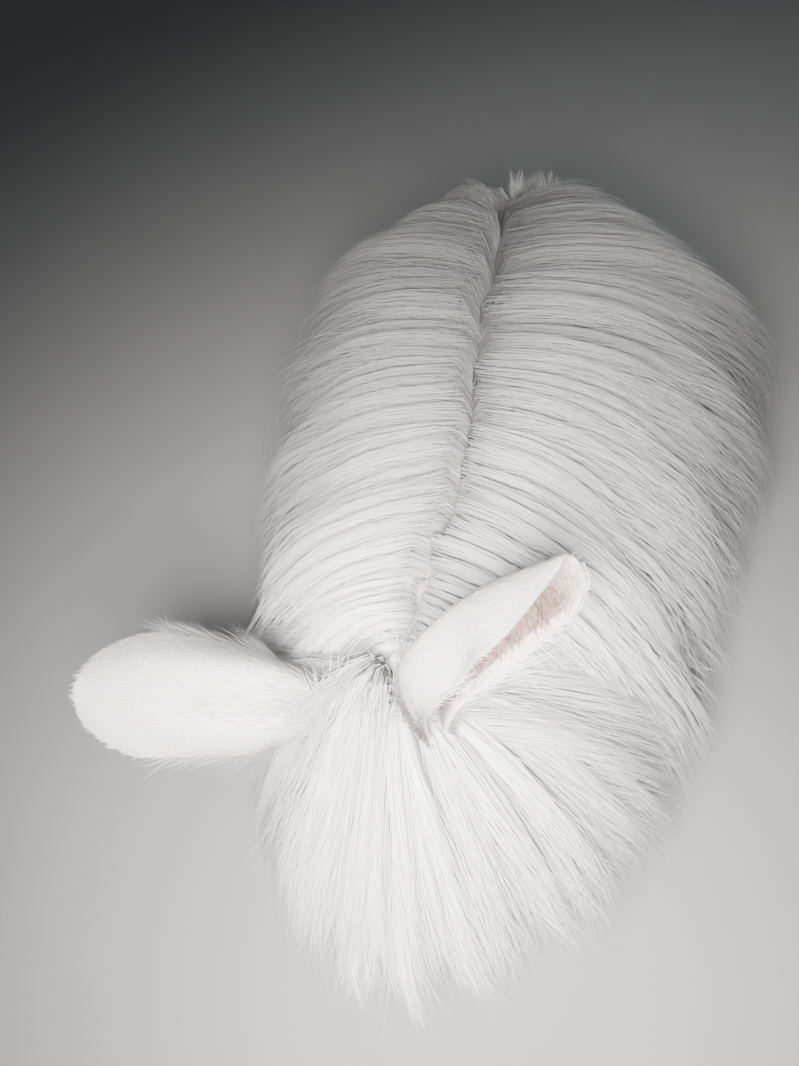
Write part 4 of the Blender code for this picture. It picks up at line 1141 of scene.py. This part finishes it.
def growNape():
    count, halfWidth, seed = bodyFurs["nape"]
    places, normals = skinSamples(count, napeDensity, seed)
    flow = np.stack([places[:, 0] * 20, 1 + 0 * places[:, 0], 0.25 + 0 * places[:, 0]], axis=1)
    roots = np.stack([0.62 + places[:, 0], 0.80 + places[:, 1] * 0.3], axis=1)
    shortFur("coat_nape", places, normals, flow, np.full(len(places), 0.020), halfWidth, 0.22, roots, seed + 1,
             steps=5, slot="coat", finish=woolPaint, spread=0.30)


tailCoat = dict(count=2000, lengths=(0.014, 0.026), seed=81)


# The tail's hair springs all round its line and leans to its tip.
def growTail():
    random = np.random.default_rng(tailCoat["seed"])
    n = int(tailCoat["count"] * strandShare)
    u, turn = random.uniform(0.1, 1.0, n) ** 0.8, random.uniform(0, 2 * np.pi, n)
    ahead = unit(along(tail["line"], np.clip(u + 0.02, 0, 1)) - along(tail["line"], np.clip(u - 0.02, 0, 1)))
    side = unit(np.cross(ahead, (0, 1.0, 0.3)))
    up = np.cross(side, ahead)
    out = side * np.cos(turn)[:, None] + up * np.sin(turn)[:, None]
    size = along(tail["sizes"], u)[:, 0]
    out = unit(out + ahead * smooth(u, 0.85, 1.0)[:, None] * 1.5)
    places = along(tail["line"], u) + out * (size * 0.9)[:, None]
    t = np.linspace(0, 1, 6)[None, :, None]
    length = random.uniform(*tailCoat["lengths"], n)[:, None, None]
    curve = out[:, None] * (0.55 * np.sin(t * 2.2)) + ahead[:, None] * t * 0.8
    line = places[:, None] + curve * length * (1 - 0.35 * u)[:, None, None]
    roots = np.stack([0.52 + u * 0.1, 0.30 + turn / 60], axis=1)
    made = strandObject("coat_tail", line, out, np.full(n, wool["halfWidth"]), np.full(n, wool["thickness"]),
                        roots, random.uniform(0, 1, n))
    dress(made, woolPaint, "coat")


growFace()
growLegs()
growNape()
growTail()
print("short fur and tail done")


# A ball whose front bulges a little: its radius grows by a bell of the angle from the way it looks.
def makeEyeBall(name, sign):
    rows, sides = 48, 64
    angle = np.linspace(0.01, np.pi - 0.01, rows)
    turn = turns(sides)
    look = eyeOutward(sign)
    side = unit(np.cross(look, skull["up"]))
    up = np.cross(side, look)
    radius = (skull["eyeRadius"] - 0.0003) * (1 + 0.05 * bell(angle, 0.62))
    ring = (side * np.cos(turn)[:, None] + up * np.sin(turn)[:, None])
    points = (eyeCentre(sign) + look * (np.cos(angle) * radius)[:, None, None]
              + ring[None] * (np.sin(angle) * radius)[:, None, None])
    made = tube(name, points)
    away = unit(meshPoints(made) - eyeCentre(sign))
    pointValue(made, "angle", np.arccos(np.clip(away @ look, -1, 1)))
    setPoints(made, toFrame(meshPoints(made)))
    return made


# Ruby eye of an albino: a dark red pupil, a streaked ruby iris and a duller red past its edge.
def eyeFinish():
    paint = Paint("ruby eye")
    angle = paint.value("angle")
    streaks = paint.noise(900.0, 2.0, paint.place())
    pupil = (angle * 30.0 - 9.0).clamped()
    limbus = (angle * 12.0 - 11.5).clamped()
    iris = paint.mix(streaks, (0.28, 0.026, 0.032), (0.48, 0.10, 0.105))
    colour = paint.mix(pupil, (0.09, 0.003, 0.006), iris)
    colour = paint.mix(limbus, colour, (0.30, 0.07, 0.07))
    return paint.set(colour=colour, roughness=0.09 + streaks * 0.03, coat=1.0, coatRoughness=0.03)


rubyPaint = eyeFinish()
for side, sign in (("left", 1), ("right", -1)):
    dress(makeEyeBall("eyeball_" + side, sign), rubyPaint, "eye", "eye_" + side)
print("eyes done")


claw = dict(steps=11, sides=12, reach=0.0078, radius=0.00105, lowest=0.0003)


# A claw is a round section carried along a falling arc, its radius shrinking as a root of what is left.
def makeClaws():
    t = np.linspace(0, 1, claw["steps"])
    turn = turns(claw["sides"])
    ring = np.stack([np.cos(turn), turn * 0, np.sin(turn) * 1.25], axis=1)
    made = []
    for limb in limbs.values():
        for sign in (1, -1):
            for centre in toeCentres(limb, sign):
                toe = limb["toe"]
                start = centre + (0, -toe * 1.05, toe * 0.25)
                line = start + np.stack([t * 0, -t * claw["reach"], 0.0012 * t - 0.0034 * t**2], axis=1)
                radius = claw["radius"] * np.sqrt(1 - 0.97 * t)
                points = line[:, None] + ring[None] * radius[:, None, None]
                points[..., 2] = np.maximum(points[..., 2], claw["lowest"])
                made.append(tube("claw", points))
    claws = made[0]
    joinMeshes(claws, made[1:])
    claws.name = "claws"
    setPoints(claws, toFrame(meshPoints(claws)))
    return claws


# Several meshes into the first one.
def joinMeshes(thing, others):
    bpy.ops.object.select_all(action="DESELECT")
    for other in [thing] + others:
        other.select_set(True)
    bpy.context.view_layer.objects.active = thing
    bpy.ops.object.join()


# Pale horn with fine lines along the claw.
def hornFinish():
    paint = Paint("claw horn")
    lines = paint.noise(500.0, 2.0, paint.stretched(paint.place(), (1.0, 0.1, 1.0)))
    colour = paint.mix(lines, (0.74, 0.58, 0.50), (0.88, 0.79, 0.70))
    return paint.set(colour=colour, roughness=0.32 + lines * 0.1, normal=paint.bump(lines, 0.2, 0.0002))


dress(makeClaws(), hornFinish(), "claw")


whisker = dict(rows=4, each=5, lengths=(0.028, 0.050), halfWidth=0.00017, thickness=0.00016, steps=9, seed=91)


# Whiskers leave the upper lips and chin in rows and bow gently down and back.
def growWhiskers():
    random = np.random.default_rng(whisker["seed"])
    lines, outward = [], []
    t = np.linspace(0, 1, whisker["steps"])[:, None]
    for sign in (1, -1):
        for row in range(whisker["rows"]):
            for number in range(whisker["each"]):
                share, high = 0.86 + number * 0.022, -0.0065 + row * 0.0028
                root = headPoint(share, sign * (0.0135 - 0.045 * (share - 0.86)), high)
                way = unit(skull["side"] * sign * 1.0 - skull["forward"] * random.uniform(0.1, 0.5)
                           + skull["up"] * random.uniform(-0.2, 0.35))
                length = random.uniform(*whisker["lengths"])
                bow = np.array((0, 0.1, -1.0)) * (t**2 * length * random.uniform(0.1, 0.3))
                lines.append(root + way * (t * length) + bow)
                outward.append(unit(skull["up"] + skull["forward"] * 0.3))
    lines, outward = np.array(lines), np.array(outward)
    count = len(lines)
    roots = np.stack([np.linspace(0.8, 0.95, count), np.full(count, 0.95)], axis=1)
    made = strandObject("whiskers", lines, outward, np.full(count, whisker["halfWidth"]),
                        np.full(count, whisker["thickness"]), roots, random.uniform(0, 1, count))
    return dress(made, furPaint, "short_fur")


growWhiskers()
print("claws and whiskers done")


# A plain pale floor, a little cloudy.
def floorFinish():
    paint = Paint("pale floor")
    grain = paint.noise(14.0, 4.0, paint.place())
    colour = paint.mix(grain, (0.33, 0.328, 0.322), (0.36, 0.357, 0.350))
    return paint.set(colour=colour, roughness=0.85)


studio = dict(floorSize=6.0, worldColour=(0.82, 0.85, 0.90), worldStrength=0.09, aim=(0.01, -0.16, 0.08), spread=78.0,
              lamps=(((0.08, -0.41, 0.44), 0.15, 2.6, (1.0, 0.98, 0.955)),
                     ((-0.90, -0.50, 0.90), 0.9, 0.8, (1.0, 0.985, 0.96)),
                     ((0.30, 1.10, 1.10), 0.9, 1.3, (0.94, 0.97, 1.0))))

half = studio["floorSize"] / 2
floor = meshObject("floor", [(-half, -half, 0), (half, -half, 0), (half, half, 0), (-half, half, 0)], [(0, 1, 2, 3)])
floor.data.materials.append(floorFinish())

world = bpy.data.worlds.new("studio")
world.use_nodes = True
world.node_tree.nodes["Background"].inputs["Color"].default_value = (*studio["worldColour"], 1)
world.node_tree.nodes["Background"].inputs["Strength"].default_value = studio["worldStrength"]
bpy.context.scene.world = world


# Puts an object at a place with its own X, Y and Z along three given ways.
def stand(thing, side, up, back, place):
    thing.matrix_world = Matrix([[side[i], up[i], back[i], place[i]] for i in range(3)] + [[0, 0, 0, 1]])


# Turns an object's -Z towards a point.
def aimAt(thing, target):
    away = np.array(thing.location) - np.asarray(target, float)
    back = away / np.linalg.norm(away)
    side = unit(np.cross((0, 0, 1), back))
    stand(thing, side, np.cross(back, side), back, thing.location)


for number, (place, size, power, colour) in enumerate(studio["lamps"]):
    lamp = bpy.data.lights.new("lamp_" + str(number), "AREA")
    lamp.size, lamp.energy, lamp.color, lamp.spread = size, power, colour, np.radians(studio["spread"])
    holder = bpy.data.objects.new(lamp.name, lamp)
    bpy.context.scene.collection.objects.link(holder)
    holder.location = place
    bpy.context.view_layer.update()
    aimAt(holder, studio["aim"])

# The camera's place comes from fitting straight and round things in the picture.
view = dict(place=(0.105, -0.322, 0.474), down=48.3, roll=-13.7, heading=25.0, focalPixels=957.0, tallPixels=1066.0)


# The camera looks along +Y, then is tipped down, rolled about its own line and turned to its heading.
def makeCamera():
    down, roll, heading = (np.radians(view[key]) for key in ("down", "roll", "heading"))
    ahead = np.array((0, np.cos(down), -np.sin(down)))
    up = np.array((0, np.sin(down), np.cos(down)))
    side = np.array((1.0, 0, 0))
    side, up = np.cos(roll) * side + np.sin(roll) * up, -np.sin(roll) * side + np.cos(roll) * up
    turn = np.array([[np.cos(heading), -np.sin(heading), 0], [np.sin(heading), np.cos(heading), 0], [0, 0, 1]])
    side, up, ahead = turn @ side, turn @ up, turn @ ahead
    lens = bpy.data.cameras.new("camera")
    lens.sensor_width = 36.0
    lens.lens = view["focalPixels"] * lens.sensor_width / view["tallPixels"]
    lens.clip_start = 0.01
    holder = bpy.data.objects.new("camera", lens)
    bpy.context.scene.collection.objects.link(holder)
    stand(holder, side, up, -ahead, toFrame(view["place"]))
    bpy.context.scene.camera = holder


makeCamera()
